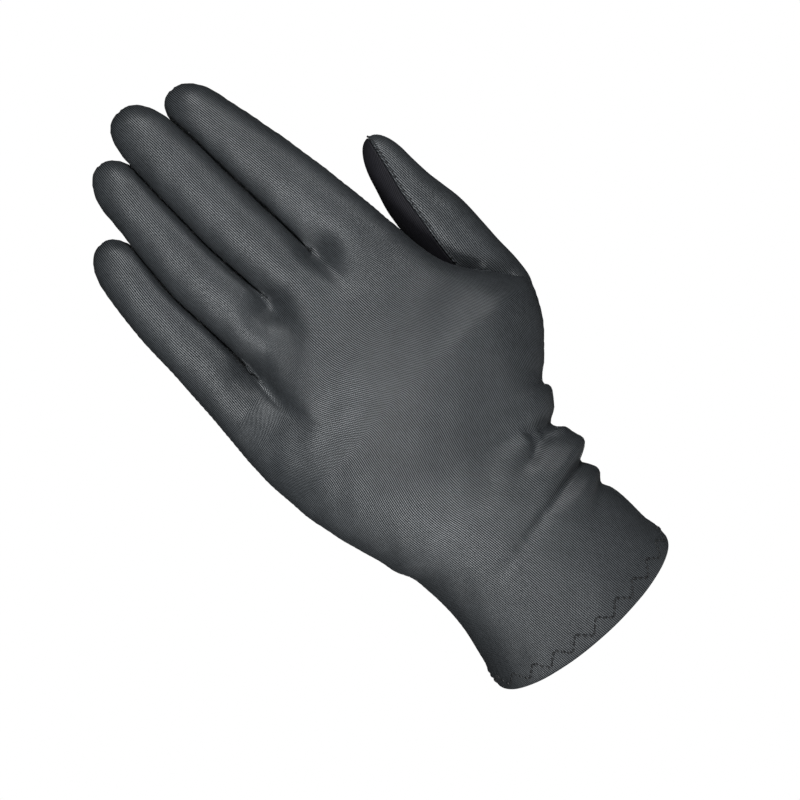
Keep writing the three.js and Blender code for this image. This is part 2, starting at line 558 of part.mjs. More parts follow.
// A closed solid from some faces of a surface: the outside lies at one depth below the surface
// and the inside at another, and the open edges are closed between them. side is 1 for a panel
// that a seam's shifts point into, and -1 for the other.
function thicken(meshPoints, meshFaces, out, shifts, side, outerDepth, innerDepth) {
  const numbers = new Map();
  const positions = [];
  const corner = (number, depth) => {
    const key = `${number}:${depth}`;
    if (!numbers.has(key)) {
      const place = meshPoints[number].clone().addScaledVector(out[number], -depth);
      if (shifts.has(number)) place.addScaledVector(shifts.get(number), side);
      numbers.set(key, positions.length / 3);
      positions.push(place.x, place.y, place.z);
    }
    return numbers.get(key);
  };
  const triangles = [];
  const polygon = (ring) => {
    for (let i = 2; i < ring.length; i++) triangles.push(ring[0], ring[i - 1], ring[i]);
  };
  const edges = new Map();
  for (const face of meshFaces) {
    polygon(face.corners.map((number) => corner(number, outerDepth)));
    polygon(face.corners.map((number) => corner(number, innerDepth)).reverse());
    face.corners.forEach((from, i) => {
      const to = face.corners[(i + 1) % face.corners.length];
      if (!edges.delete(`${to}:${from}`)) edges.set(`${from}:${to}`, [from, to]);
    });
  }
  // Both panels split a seam's face along the same diagonal, so that the seam stays open
  for (const [from, to] of edges.values()) {
    const rim = [corner(to, outerDepth), corner(from, outerDepth),
      corner(from, innerDepth), corner(to, innerDepth)];
    polygon(from < to ? [...rim.slice(1), rim[0]] : rim);
  }
  return solidFrom(positions, triangles);
}

function solidFrom(positions, triangles) {
  const mesh = new wasm.Mesh({
    numProp: 3,
    vertProperties: new Float32Array(positions),
    triVerts: new Uint32Array(triangles),
  });
  return new wasm.Manifold(mesh);
}

// A closed solid inside one ring-built surface: its open foot is carried down and capped
function fill(meshPoints, meshFaces, out, depth, foot, drop) {
  const positions = meshPoints.flatMap((point, number) => (
    point.clone().addScaledVector(out[number], -depth).toArray()));
  const triangles = meshFaces.flatMap(({ corners }) => (corners.length === 4
    ? [corners[0], corners[1], corners[2], corners[0], corners[2], corners[3]]
    : corners));
  const first = positions.length / 3;
  const middle = new THREE.Vector3();
  for (const number of foot) {
    const place = new THREE.Vector3().fromArray(positions, number * 3);
    place.z -= drop;
    middle.addScaledVector(place, 1 / foot.length);
    positions.push(place.x, place.y, place.z);
  }
  const centre = positions.length / 3;
  positions.push(middle.x, middle.y, middle.z);
  foot.forEach((number, i) => {
    const j = (i + 1) % foot.length;
    triangles.push(first + i, first + j, foot[j], first + i, foot[j], number);
    triangles.push(centre, first + j, first + i);
  });
  return solidFrom(positions, triangles);
}

// The thumb's own surface: rings whose first column is the seam on its back
const thumbPoints = [];
const thumbFaces = [];
const thumbSeams = new Set();

function thumbPoint(column, up) {
  const value = (name) => smoothColumn(THUMB_FORM, name, up);
  const share = tipShare(up, THUMB_TIP_START);
  const angle = radians(90 + value('seam') + 360 * column / THUMB_SIDES);
  return new THREE.Vector3(
    THUMB_SIDE + value('side') * THUMB_WIDTH
      + value('wide') * THUMB_WIDTH / 2 * share * Math.cos(angle),
    value('back') * THUMB_DEPTH - value('deep') * THUMB_DEPTH / 2 * share * Math.sin(angle),
    THUMB_ROOT + up * THUMB_LENGTH,
  );
}

const thumbHeights = [
  ...THUMB_ROWS,
  ...TIP_ANGLES.map((degrees) => lerp(THUMB_TIP_START, 1, Math.sin(radians(degrees)))),
];
const thumbIsFront = (c) => c < THUMB_SIDES / 2;
thumbHeights.forEach((up, r) => {
  for (let c = 0; c < THUMB_SIDES; c++) {
    thumbPoints.push(thumbPoint(c, up));
    const number = r * THUMB_SIDES + c;
    if (c === 0 || c === THUMB_SIDES / 2) thumbSeams.add(number);
    if (r === 0) continue;
    const d = (c + 1) % THUMB_SIDES;
    const below = (r - 1) * THUMB_SIDES;
    thumbFaces.push({
      corners: [below + d, below + c, number, r * THUMB_SIDES + d],
      back: !thumbIsFront(c),
    });
  }
});
thumbPoints.push(thumbPoint(0, 1));
const thumbPole = thumbPoints.length - 1;
thumbSeams.add(thumbPole);
for (let c = 0; c < THUMB_SIDES; c++) {
  const d = (c + 1) % THUMB_SIDES;
  const ring = (thumbHeights.length - 1) * THUMB_SIDES;
  thumbFaces.push({ corners: [ring + d, ring + c, thumbPole], back: !thumbIsFront(c) });
}
const thumbOut = outwardAt(thumbPoints, thumbFaces);
const thumbFoot = Array.from({ length: THUMB_SIDES }, (_, c) => THUMB_SIDES - 1 - c);

// Panels
const handFoot = handRings[0];
const thumbHollow = fill(thumbPoints, thumbFaces, thumbOut, KNIT, thumbFoot, 0);
const handAndGap = fill(points, faces, outward, -SEAM_GAP, handFoot, CLEAN_CUT);

const handShifts = seamShifts(points, faces, seamPoints);
const thumbShifts = seamShifts(thumbPoints, thumbFaces, thumbSeams);

function handPanel(back) {
  const own = faces.filter((face) => face.back === back);
  const side = back ? 1 : -1;
  return thicken(points, own, outward, handShifts, side, 0, KNIT).subtract(thumbHollow);
}

// The palm's cloth is two pieces, which meet across the palm below the finger roots
const frontsFoot = FRONTS_UP * PALM_LENGTH;
const palm = handPanel(false);
const palmPanel = palm.trimByPlane([0, 0, -1], -(frontsFoot - SEAM_GAP / 2));
const fingerFronts = palm.trimByPlane([0, 0, 1], frontsFoot + SEAM_GAP / 2);

function thumbPanel(back) {
  const own = thumbFaces.filter((face) => face.back === back);
  const side = back ? 1 : -1;
  return thicken(thumbPoints, own, thumbOut, thumbShifts, side, 0, KNIT).subtract(handAndGap);
}

// The cloth turned in at the cuff: a band that follows the cuff's inside all round
function cuffHem() {
  const rows = [HEM_SETBACK, HEM_SETBACK + HEM_WIDTH / 2, HEM_SETBACK + HEM_WIDTH];
  const hemPoints = rows.flatMap((z) => roots.map((root, c) => handPoint(c, z / PALM_LENGTH)));
  const hemFaces = [];
  for (let r = 1; r < rows.length; r++) {
    for (let c = 0; c < RING; c++) {
      const d = (c + 1) % RING;
      const below = (r - 1) * RING;
      hemFaces.push({ corners: [below + c, below + d, r * RING + d, r * RING + c] });
    }
  }
  const depth = KNIT + SEAM_GAP;
  return thicken(hemPoints, hemFaces, outwardAt(hemPoints, hemFaces), new Map(), 1,
    depth, depth + KNIT);
}

// The scene
function clothMaterial(colour) {
  return new THREE.MeshStandardMaterial({ color: colour, roughness: 0.6, metalness: 0 });
}

const charcoalKnit = clothMaterial(0x46494c);
const blackKnit = clothMaterial(0x17161b);

function piece(name, solid, material) {
  const { vertProperties, triVerts, numProp } = solid.getMesh();
  const positions = [];
  for (let i = 0; i < vertProperties.length; i += numProp) {
    positions.push(vertProperties[i], vertProperties[i + 1], vertProperties[i + 2]);
  }
  const geometry = new THREE.BufferGeometry();
  geometry.setAttribute('position', new THREE.Float32BufferAttribute(positions, 3));
  geometry.setIndex(Array.from(triVerts));
  geometry.computeVertexNormals();
  const mesh = new THREE.Mesh(geometry, material);
  mesh.name = name;
  return mesh;
}

const glove = new THREE.Group();
glove.add(piece('back_panel', handPanel(true), charcoalKnit));
glove.add(piece('palm_panel', palmPanel, charcoalKnit));
glove.add(piece('finger_fronts', fingerFronts, charcoalKnit));
glove.add(piece('thumb_back', thumbPanel(true), charcoalKnit));
glove.add(piece('thumb_front', thumbPanel(false), blackKnit));
glove.add(piece('cuff_hem', cuffHem(), charcoalKnit));

export default glove;
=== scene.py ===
"""Glove liner of the left hand, dressed: a fine stretch knit with its seams, hem and stitches.

Metres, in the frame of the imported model: +Z runs from the wrist opening to the fingertips, +X to
the thumb side, and the back of the hand faces -Y. The cloth is one fine grid of points over the
hand and the fingers, split into its sewn panels and given the thickness of the knit.
"""
import logging
import math
from dataclasses import dataclass, field
from enum import Enum

import bpy
import numpy as np
from mathutils import Matrix, Vector


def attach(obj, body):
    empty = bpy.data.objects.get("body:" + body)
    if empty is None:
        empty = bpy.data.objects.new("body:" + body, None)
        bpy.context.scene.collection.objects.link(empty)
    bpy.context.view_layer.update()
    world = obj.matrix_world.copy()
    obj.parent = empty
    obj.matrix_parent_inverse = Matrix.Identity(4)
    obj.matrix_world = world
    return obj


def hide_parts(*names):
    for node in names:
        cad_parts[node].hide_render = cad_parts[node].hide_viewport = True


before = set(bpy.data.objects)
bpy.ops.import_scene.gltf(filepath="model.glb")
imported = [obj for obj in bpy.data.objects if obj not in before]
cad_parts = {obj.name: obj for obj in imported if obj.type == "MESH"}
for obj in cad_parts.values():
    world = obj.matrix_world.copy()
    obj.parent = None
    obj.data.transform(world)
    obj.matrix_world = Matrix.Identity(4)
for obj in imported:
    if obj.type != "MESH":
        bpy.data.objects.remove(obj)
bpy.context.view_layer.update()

LOG = logging.getLogger("glove")
MM = 0.001

# Driving sizes of the form, as in the model's source
KNIT = 1.2 * MM
SEAM_GAP = 0.3 * MM
FINGER_GAP = 0.5 * MM
CUFF_WIDTH = 78.8 * MM
CUFF_DEPTH = 52 * MM
CUFF_TILT = 21.0
WRIST_WIDTH = 71.5 * MM
WRIST_DEPTH = 44 * MM
PALM_WIDTH = 97 * MM
PALM_DEPTH = 31 * MM
PALM_LENGTH = 150 * MM
PALM_OFFSET = 15.3 * MM
THUMB_BALL = 11 * MM
THUMB_DROP = 9 * MM
LITTLE_DROP = 3.5 * MM
KNUCKLE_RUN = 30 * MM
WEB_RISE = 3 * MM
FOLD_DEPTH = 2.6 * MM
FOLD_BREADTH = 4 * MM
HEM_WIDTH = 8.5 * MM
HEM_SETBACK = 0.8 * MM
THUMB_WIDTH = 23.6 * MM
THUMB_DEPTH = 21.6 * MM
THUMB_LENGTH = 92.3 * MM
THUMB_ROOT = 82 * MM
THUMB_SIDE = 53.5 * MM

# Sizes of the cloth that differ from the model's: seams almost closed, and deeper webs
CLOTH_GAP = 0.05 * MM
WEB_LIFT = -1.2 * MM

# Stitches that show as dots beside the thumb's seam
DOTS_FROM = 115 * MM
DOTS_TO = 174 * MM
DOT_LENGTH = 1.1 * MM

# How far the body that cuts the thumb's cloth runs below the cuff
BODY_DROP = 10 * MM


class Panel(Enum):
    """The two sides that the cloth is sewn from."""

    BACK = "back"
    PALM = "palm"


@dataclass(frozen=True)
class Table:
    """Rows of shares with named columns, read as smooth curves over the first column."""

    columns: tuple[str, ...]
    rows: tuple[tuple[float, ...], ...]

    def at(self, name: str, up: np.ndarray) -> np.ndarray:
        """Smooth value of a column.

        Args:
            name: the column.
            up: places along the first column.

        Returns:
            The value at each place, held level past the first and last row.
        """
        place = np.array([row[0] for row in self.rows])
        value = np.array([row[self.columns.index(name)] for row in self.rows])
        last = len(place) - 1
        low = np.maximum(np.arange(last + 1) - 1, 0)
        high = np.minimum(np.arange(last + 1) + 1, last)
        slope = (value[high] - value[low]) / (place[high] - place[low])
        i = np.clip(np.searchsorted(place, up, side="right") - 1, 0, last - 1)
        run = place[i + 1] - place[i]
        t = np.clip((up - place[i]) / run, 0, 1)
        return ((2 * t**3 - 3 * t**2 + 1) * value[i] + (t**3 - 2 * t**2 + t) * run * slope[i]
                + (3 * t**2 - 2 * t**3) * value[i + 1] + (t**3 - t**2) * run * slope[i + 1])


FINGER_COLUMNS = ("up", "side", "wide", "deep")
LITTLE_FORM = Table(FINGER_COLUMNS, (
    (0.00, 0.00, 1.10, 1.02),
    (0.26, 0.01, 1.08, 1.00),
    (0.48, -0.05, 0.99, 1.00),
    (0.68, -0.06, 0.95, 0.97),
    (0.84, -0.02, 0.90, 0.92),
    (1.00, 0.00, 0.78, 0.80),
))
RING_FORM = Table(FINGER_COLUMNS, (
    (0.00, 0.00, 0.99, 1.04),
    (0.19, 0.01, 1.07, 1.02),
    (0.40, -0.07, 1.03, 1.00),
    (0.66, -0.05, 0.94, 0.97),
    (0.88, -0.02, 0.86, 0.90),
    (1.00, 0.00, 0.76, 0.80),
))
MIDDLE_FORM = Table(FINGER_COLUMNS, (
    (0.00, 0.00, 0.97, 1.05),
    (0.19, -0.02, 1.01, 1.02),
    (0.35, -0.03, 1.02, 1.00),
    (0.55, -0.02, 0.99, 0.98),
    (0.75, 0.00, 0.96, 0.94),
    (1.00, 0.00, 0.84, 0.80),
))
INDEX_FORM = Table(FINGER_COLUMNS, (
    (0.00, 0.00, 1.16, 1.05),
    (0.16, 0.01, 1.14, 1.02),
    (0.33, 0.02, 1.08, 1.00),
    (0.61, 0.02, 0.95, 0.97),
    (0.86, 0.00, 0.80, 0.90),
    (1.00, 0.00, 0.72, 0.80),
))


@dataclass(frozen=True)
class Finger:
    """One finger: its size, and the places of its root and tip."""

    name: str
    width: float
    depth: float
    length: float
    root: float
    side: float
    back: float
    tip_side: float
    tip_back: float
    form: Table


FINGERS = (
    Finger("little", 20.4 * MM, 16.8 * MM, 78.7 * MM, 129.5 * MM, -39.2 * MM, -11.6 * MM,
           0.2 * MM, 2.5 * MM, LITTLE_FORM),
    Finger("ring", 21.4 * MM, 18.4 * MM, 84.8 * MM, 144 * MM, -18.6 * MM, -13.6 * MM,
           -2.2 * MM, 3 * MM, RING_FORM),
    Finger("middle", 22.6 * MM, 19.4 * MM, 84 * MM, 154 * MM, 3.1 * MM, -15.6 * MM,
           -6.4 * MM, 3 * MM, MIDDLE_FORM),
    Finger("index", 23.4 * MM, 19 * MM, 81.7 * MM, 150 * MM, 27.4 * MM, -13.2 * MM,
           -11.7 * MM, 3 * MM, INDEX_FORM),
)

PARTING_UP = (0.887, 1.033, 1.040)
PARTING_FRONT = (1, 2, 2)
EDGE_UP_LITTLE = 0.853
EDGE_UP_INDEX = 0.967
CONTACT_SLOPE = 0.36
CONTACT_ROUND = 1.2 * MM
TIP_START = 0.83
TIP_POWER = 2.4
FINGER_POWER = 2.15
BALL_PLACE = 0.55
BALL_SPREAD = 0.4
LITTLE_DROP_FROM = 0.35
LITTLE_DROP_TO = 0.8
LEVEL_UP = 0.590
BLEND_RUN = 12 * MM
CUFF_SLOPE = 0.36
CUFF_RUN = 6 * MM
CUFF_RELIEF = 0.25
FOLDS_FROM = 0.25
FOLDS_FULL = 0.9
DENTS_FROM = -0.1
DENTS_FULL = 0.5

HAND_FORM = Table(
    ("up", "across", "little", "thumb", "deep", "offset", "tilt", "drop", "ball", "power"), (
        (0.000, CUFF_WIDTH, 0.492, 0.508, 0.500 * CUFF_DEPTH, 0.00, 1.00, 0.00, 0.00, 2.0),
        (0.035, CUFF_WIDTH, 0.485, 0.506, 0.497 * CUFF_DEPTH, 0.12, 0.97, 0.00, 0.00, 2.0),
        (0.067, CUFF_WIDTH, 0.465, 0.490, 0.486 * CUFF_DEPTH, 0.24, 0.93, 0.00, 0.00, 2.0),
        (0.147, WRIST_WIDTH, 0.484, 0.529, 0.540 * WRIST_DEPTH, 0.48, 0.80, 0.00, 0.00, 2.05),
        (0.213, WRIST_WIDTH, 0.472, 0.523, 0.510 * WRIST_DEPTH, 0.66, 0.66, 0.00, 0.00, 2.1),
        (0.280, WRIST_WIDTH, 0.481, 0.530, 0.487 * WRIST_DEPTH, 0.79, 0.52, 0.04, 0.05, 2.15),
        (0.333, WRIST_WIDTH, 0.503, 0.543, 0.466 * WRIST_DEPTH, 0.87, 0.40, 0.10, 0.15, 2.2),
        (0.393, PALM_WIDTH, 0.407, 0.415, 0.630 * PALM_DEPTH, 0.93, 0.28, 0.20, 0.35, 2.25),
        (0.453, PALM_WIDTH, 0.438, 0.448, 0.602 * PALM_DEPTH, 0.97, 0.18, 0.35, 0.60, 2.3),
        (0.500, PALM_WIDTH, 0.461, 0.505, 0.585 * PALM_DEPTH, 0.99, 0.12, 0.55, 0.80, 2.35),
        (0.547, PALM_WIDTH, 0.481, 0.570, 0.568 * PALM_DEPTH, 1.00, 0.08, 0.80, 0.95, 2.4),
        (0.600, PALM_WIDTH, 0.500, 0.621, 0.552 * PALM_DEPTH, 1.00, 0.04, 0.95, 1.00, 2.4),
        (0.640, PALM_WIDTH, 0.509, 0.649, 0.542 * PALM_DEPTH, 1.00, 0.00, 1.00, 1.00, 2.4),
        (0.667, PALM_WIDTH, 0.515, 0.655, 0.534 * PALM_DEPTH, 1.00, 0.00, 1.00, 0.92, 2.4),
        (0.693, PALM_WIDTH, 0.520, 0.622, 0.526 * PALM_DEPTH, 0.99, 0.00, 0.92, 0.80, 2.4),
        (0.722, PALM_WIDTH, 0.524, 0.588, 0.518 * PALM_DEPTH, 0.99, 0.00, 0.80, 0.62, 2.4),
        (0.753, PALM_WIDTH, 0.526, 0.551, 0.510 * PALM_DEPTH, 0.98, 0.00, 0.62, 0.42, 2.4),
        (0.783, PALM_WIDTH, 0.528, 0.514, 0.500 * PALM_DEPTH, 0.98, 0.00, 0.42, 0.25, 2.4),
        (0.823, PALM_WIDTH, 0.528, 0.476, 0.484 * PALM_DEPTH, 0.96, 0.00, 0.22, 0.12, 2.4),
        (0.873, PALM_WIDTH, 0.526, 0.453, 0.462 * PALM_DEPTH, 0.93, 0.00, 0.10, 0.04, 2.4),
        (0.945, PALM_WIDTH, 0.521, 0.436, 0.430 * PALM_DEPTH, 0.89, 0.00, 0.03, 0.00, 2.35),
        (1.070, PALM_WIDTH, 0.516, 0.420, 0.400 * PALM_DEPTH, 0.85, 0.00, 0.00, 0.00, 2.3),
    ))

THUMB_FORM = Table(("up", "side", "back", "wide", "deep", "seam"), (
    (0.00, -0.38, -0.24, 0.70, 0.76, 34),
    (0.09, -0.19, -0.03, 0.90, 0.92, 34),
    (0.18, -0.02, 0.12, 1.03, 1.00, 34),
    (0.27, 0.03, 0.17, 1.03, 1.00, 34),
    (0.40, 0.045, 0.14, 0.99, 0.97, 33),
    (0.52, 0.035, 0.10, 1.00, 0.96, 27),
    (0.61, 0.025, 0.06, 0.99, 0.93, 21),
    (0.68, 0.01, 0.04, 0.92, 0.89, 17),
    (0.75, 0.00, 0.02, 0.83, 0.84, 14),
    (0.84, 0.03, 0.00, 0.71, 0.74, 10),
    (1.00, 0.09, -0.02, 0.52, 0.58, 3),
))
THUMB_TIP_START = 0.86


@dataclass(frozen=True)
class Fold:
    """A wrinkle at the wrist: a line over the back that runs on round the thumb side.

    side and to_side are shares of half the wrist's width, up and to_up of the palm's length,
    rise and to_rise of the fold's depth, below 0 for a valley, and broad of its breadth.
    """

    side: float
    up: float
    to_side: float
    to_up: float
    rise: float
    to_rise: float
    broad: float


FOLDS = (
    Fold(1.12, 0.266, 0.55, 0.238, -0.85, -0.45, 0.75),
    Fold(0.34, 0.229, -0.12, 0.209, -0.40, 0.00, 0.90),
    Fold(1.12, 0.226, 0.20, 0.185, 0.35, 0.00, 1.10),
    Fold(1.12, 0.318, 0.10, 0.290, 0.75, 0.00, 1.30),
    Fold(1.15, 0.366, 0.86, 0.392, -1.35, -0.45, 0.75),
    Fold(1.02, 0.350, 0.25, 0.352, -0.45, 0.00, 1.05),
    Fold(1.25, 0.437, 0.62, 0.456, 0.85, 0.00, 1.25),
    Fold(0.62, 0.415, 0.05, 0.428, -0.35, 0.00, 1.20),
    Fold(1.28, 0.476, 1.02, 0.545, -0.55, 0.00, 0.80),
    Fold(1.10, 0.196, 0.55, 0.160, -0.35, 0.00, 1.05),
)

# Sharper creases in the cloth over those wrinkles, in the same shares
CREASES = (
    Fold(1.06, 0.272, 0.10, 0.226, -0.65, -0.45, 0.36),
    Fold(0.00, 0.221, -0.45, 0.198, -0.40, 0.00, 0.50),
    Fold(1.02, 0.302, 0.20, 0.258, 0.75, 0.00, 0.65),
    Fold(1.12, 0.384, 0.82, 0.402, -0.85, -0.75, 0.46),
    Fold(1.08, 0.356, 0.84, 0.394, 0.80, 0.30, 0.36),
    Fold(0.96, 0.372, 0.56, 0.350, -0.90, -0.20, 0.60),
    Fold(0.84, 0.385, 0.62, 0.330, -0.55, 0.00, 0.42),
    Fold(1.02, 0.200, 0.70, 0.164, -0.80, 0.00, 0.60),
    Fold(1.22, 0.474, 1.04, 0.536, 0.40, 0.00, 0.32),
    Fold(1.24, 0.462, 1.00, 0.500, -0.60, 0.00, 0.46),
    Fold(0.80, 0.428, 0.20, 0.440, -0.55, 0.00, 0.95),
    Fold(0.20, 0.372, -0.45, 0.360, -0.20, 0.00, 1.00),
)


def smoothstep(value: np.ndarray, low: float, high: float) -> np.ndarray:
    """0 below low, 1 above high, and a smooth step between them."""
    t = np.clip((value - low) / (high - low), 0, 1)
    return t * t * (3 - 2 * t)


def signed_power(value: np.ndarray, power: float) -> np.ndarray:
    """A power that keeps the value's sign."""
    return np.sign(value) * np.abs(value) ** power


def soft_min(a: np.ndarray, b: np.ndarray, span: float) -> np.ndarray:
    """The smaller of two values, rounded over a span where they meet."""
    near = np.maximum(span - np.abs(a - b), 0) / span
    return np.minimum(a, b) - near * near * span / 4


def tip_share(up: np.ndarray, start: float) -> np.ndarray:
    """Share of the full width that a fingertip has, 1 where it starts to close and 0 at its end."""
    reach = np.clip((up - start) / (1 - start), 0, 1)
    return (1 - reach**TIP_POWER) ** (1 / TIP_POWER)


def fold_rise(x: np.ndarray, z: np.ndarray) -> np.ndarray:
    """How far the wrinkles and creases lift the cloth at places on the back."""
    rise = np.zeros_like(x)
    for fold in FOLDS + CREASES:
        start = np.array([fold.side * WRIST_WIDTH / 2, fold.up * PALM_LENGTH])
        end = np.array([fold.to_side * WRIST_WIDTH / 2, fold.to_up * PALM_LENGTH])
        length = np.linalg.norm(end - start)
        run = (end - start) / length
        along = (x - start[0]) * run[0] + (z - start[1]) * run[1]
        off = (x - start[0]) * run[1] - (z - start[1]) * run[0]
        beyond = np.maximum(np.maximum(-along, along - length), 0)
        away = np.hypot(off, beyond) / (fold.broad * FOLD_BREADTH)
        t = np.clip(along / length, 0, 1)
        rise += (fold.rise + (fold.to_rise - fold.rise) * t) * FOLD_DEPTH * np.exp(-away * away)
    return rise


def dented(points: np.ndarray, out: np.ndarray,
           dents: tuple[tuple[float, float, float, float], ...]) -> np.ndarray:
    """Depth of round dents at points of the cloth, less where it turns away from the back.

    Args:
        points: one row of x, y, z each.
        out: the outward direction of each.
        dents: x, z, radius and depth of each, below 0 for a bulge.

    Returns:
        The depth at each point.
    """
    depth = np.zeros(len(points))
    for x, z, radius, deep in dents:
        away = np.hypot(points[:, 0] - x, points[:, 2] - z) / radius
        depth += deep * np.exp(-away * away)
    return depth * smoothstep(-out[:, 1], DENTS_FROM, DENTS_FULL)


def finger_section(k: int, z: np.ndarray) -> tuple[np.ndarray, ...]:
    """Middle x and y and half width and depth of a finger at heights z."""
    finger = FINGERS[k]
    up = (z - finger.root) / finger.length
    share = tip_share(up, TIP_START)
    x = finger.side + finger.tip_side * up + finger.form.at("side", up) * finger.width
    y = finger.back + finger.tip_back * up * up
    wide = finger.form.at("wide", up) * finger.width / 2 * share
    deep = finger.form.at("deep", up) * finger.depth / 2 * share
    return x, y, wide, deep


def finger_points(k: int, degrees: np.ndarray, z: np.ndarray) -> np.ndarray:
    """Points on a finger's outside.

    Args:
        k: the finger's number, 0 for the little finger.
        degrees: angles from its thumb side, 90 being its back.
        z: heights.

    Returns:
        One row of x, y, z for each angle and height.
    """
    mid_x, mid_y, wide, deep = finger_section(k, z)
    angle = np.radians(degrees)
    x = mid_x + wide * signed_power(np.cos(angle), 2 / FINGER_POWER)
    y = mid_y - deep * signed_power(np.sin(angle), 2 / FINGER_POWER)
    for side, pair in ((-1, k - 1), (1, k)):
        if not 0 <= pair <= 2:
            continue
        front = PARTING_FRONT[pair]
        over_x, over_y, over_wide, _ = finger_section(front, z)
        faces = 1 if front == pair else -1
        plane = over_x + faces * (over_wide - CONTACT_SLOPE * (y - over_y))
        x = side * soft_min(side * x, side * plane - FINGER_GAP / 2, CONTACT_ROUND)
    return np.stack([x, y, z + 0 * x], axis=-1)


@dataclass
class Surface:
    """Points and faces of one open surface, with the cloth's own coordinates.

    Each face has its panel. knit holds, for each panel, the place across and along the cloth of
    each point; seam is the distance of each point from the nearest seam.
    """

    points: list[np.ndarray] = field(default_factory=list)
    faces: list[tuple[int, ...]] = field(default_factory=list)
    panels: list[Panel] = field(default_factory=list)
    knit: dict[Panel, list[np.ndarray]] = field(
        default_factory=lambda: {Panel.BACK: [], Panel.PALM: []})
    seam: list[float] = field(default_factory=list)
    count: int = 0

    def add_ring(self, ring: np.ndarray, across: dict[Panel, np.ndarray], along: np.ndarray,
                 seam: np.ndarray) -> np.ndarray:
        """Adds points and returns their numbers."""
        self.points.append(ring)
        for panel in Panel:
            self.knit[panel].append(np.stack([across[panel], along], axis=-1))
        self.seam.extend(seam)
        numbers = np.arange(self.count, self.count + len(ring))
        self.count += len(ring)
        return numbers

    def add_band(self, lower: np.ndarray, upper: np.ndarray, is_back: np.ndarray) -> None:
        """Adds the faces between two rings of point numbers."""
        count = len(lower)
        for c in range(count):
            d = (c + 1) % count
            self.faces.append((lower[c], lower[d], upper[d], upper[c]))
            self.panels.append(Panel.BACK if is_back[c] else Panel.PALM)

    def add_cap(self, ring: np.ndarray, pole: int, is_back: np.ndarray) -> None:
        """Closes a ring to one point."""
        count = len(ring)
        for c in range(count):
            self.faces.append((ring[c], ring[(c + 1) % count], pole))
            self.panels.append(Panel.BACK if is_back[c] else Panel.PALM)

    def arrays(self) -> tuple[np.ndarray, dict[Panel, np.ndarray], np.ndarray]:
        """The points, the cloth's coordinates and the seam distances as arrays."""
        knit = {panel: np.concatenate(rows) for panel, rows in self.knit.items()}
        return np.concatenate(self.points), knit, np.array(self.seam)


def around(ring: np.ndarray) -> tuple[np.ndarray, float]:
    """Distance round a closed ring from its first point to each point, and its whole length."""
    steps = np.linalg.norm(np.roll(ring, -1, axis=0) - ring, axis=1)
    return np.concatenate([[0], np.cumsum(steps)[:-1]]), float(steps.sum())


def ring_coordinates(ring: np.ndarray, crowns: tuple[int, int], seams: tuple[int, int],
                     origin: dict[Panel, float]) -> tuple[dict[Panel, np.ndarray], np.ndarray]:
    """Place across the cloth of each point of a ring, and its distance from the nearest seam.

    Args:
        ring: the points, over the back first.
        crowns: the columns at the middle of the back and of the palm.
        seams: the two columns where the panels meet.
        origin: the cloth's coordinate at each crown.

    Returns:
        The coordinate across for each panel, and the seam distance.
    """
    place, whole = around(ring)
    across = {}
    for panel, crown in zip(Panel, crowns):
        offset = place - place[crown]
        across[panel] = origin[panel] + (offset + whole / 2) % whole - whole / 2
    across[Panel.PALM] = 2 * origin[Panel.PALM] - across[Panel.PALM]
    gaps = [np.abs((place - place[seam] + whole / 2) % whole - whole / 2) for seam in seams]
    return across, np.minimum(*gaps)


def outward_at(points: np.ndarray, faces: list[tuple[int, ...]]) -> np.ndarray:
    """Outward direction at each point, from the faces round it."""
    out = np.zeros_like(points)
    quads = np.array([face if len(face) == 4 else (*face, face[2]) for face in faces])
    a = points[quads[:, 2]] - points[quads[:, 0]]
    b = points[quads[:, 3]] - points[quads[:, 1]]
    normal = np.cross(a, b)
    normal /= np.maximum(np.linalg.norm(normal, axis=1, keepdims=True), 1e-12)
    for corner in range(4):
        np.add.at(out, quads[:, corner], normal)
    return out / np.maximum(np.linalg.norm(out, axis=1, keepdims=True), 1e-12)


@dataclass
class ClothRelief:
    """Small relief of the sewn cloth: seam grooves with their lips, and soft unevenness."""

    groove: float = 0.32 * MM
    groove_width: float = 0.45 * MM
    lip: float = 0.22 * MM
    lip_place: float = 1.15 * MM
    lip_width: float = 0.6 * MM
    pucker: float = 0.35
    pucker_pitch: float = 2.3 * MM
    uneven: float = 0.11 * MM

    def lift(self, points: np.ndarray, along: np.ndarray, seam: np.ndarray) -> np.ndarray:
        """How far each point is lifted out of the smooth form."""
        valley = -self.groove * np.exp(-((seam / self.groove_width) ** 2))
        gather = 1 + self.pucker * np.sin(2 * np.pi * along / self.pucker_pitch)
        ridge = self.lip * gather * np.exp(-(((seam - self.lip_place) / self.lip_width) ** 2))
        x, y, z = (points / MM).T
        waves = (np.sin(0.41 * x + 0.23 * z + 1.1) + np.sin(0.29 * z - 0.37 * x + 0.31 * y)
                 + 0.8 * np.sin(0.53 * z + 0.45 * y + 2.3) * np.sin(0.33 * x + 0.7))
        return valley + ridge + self.uneven * waves / 2


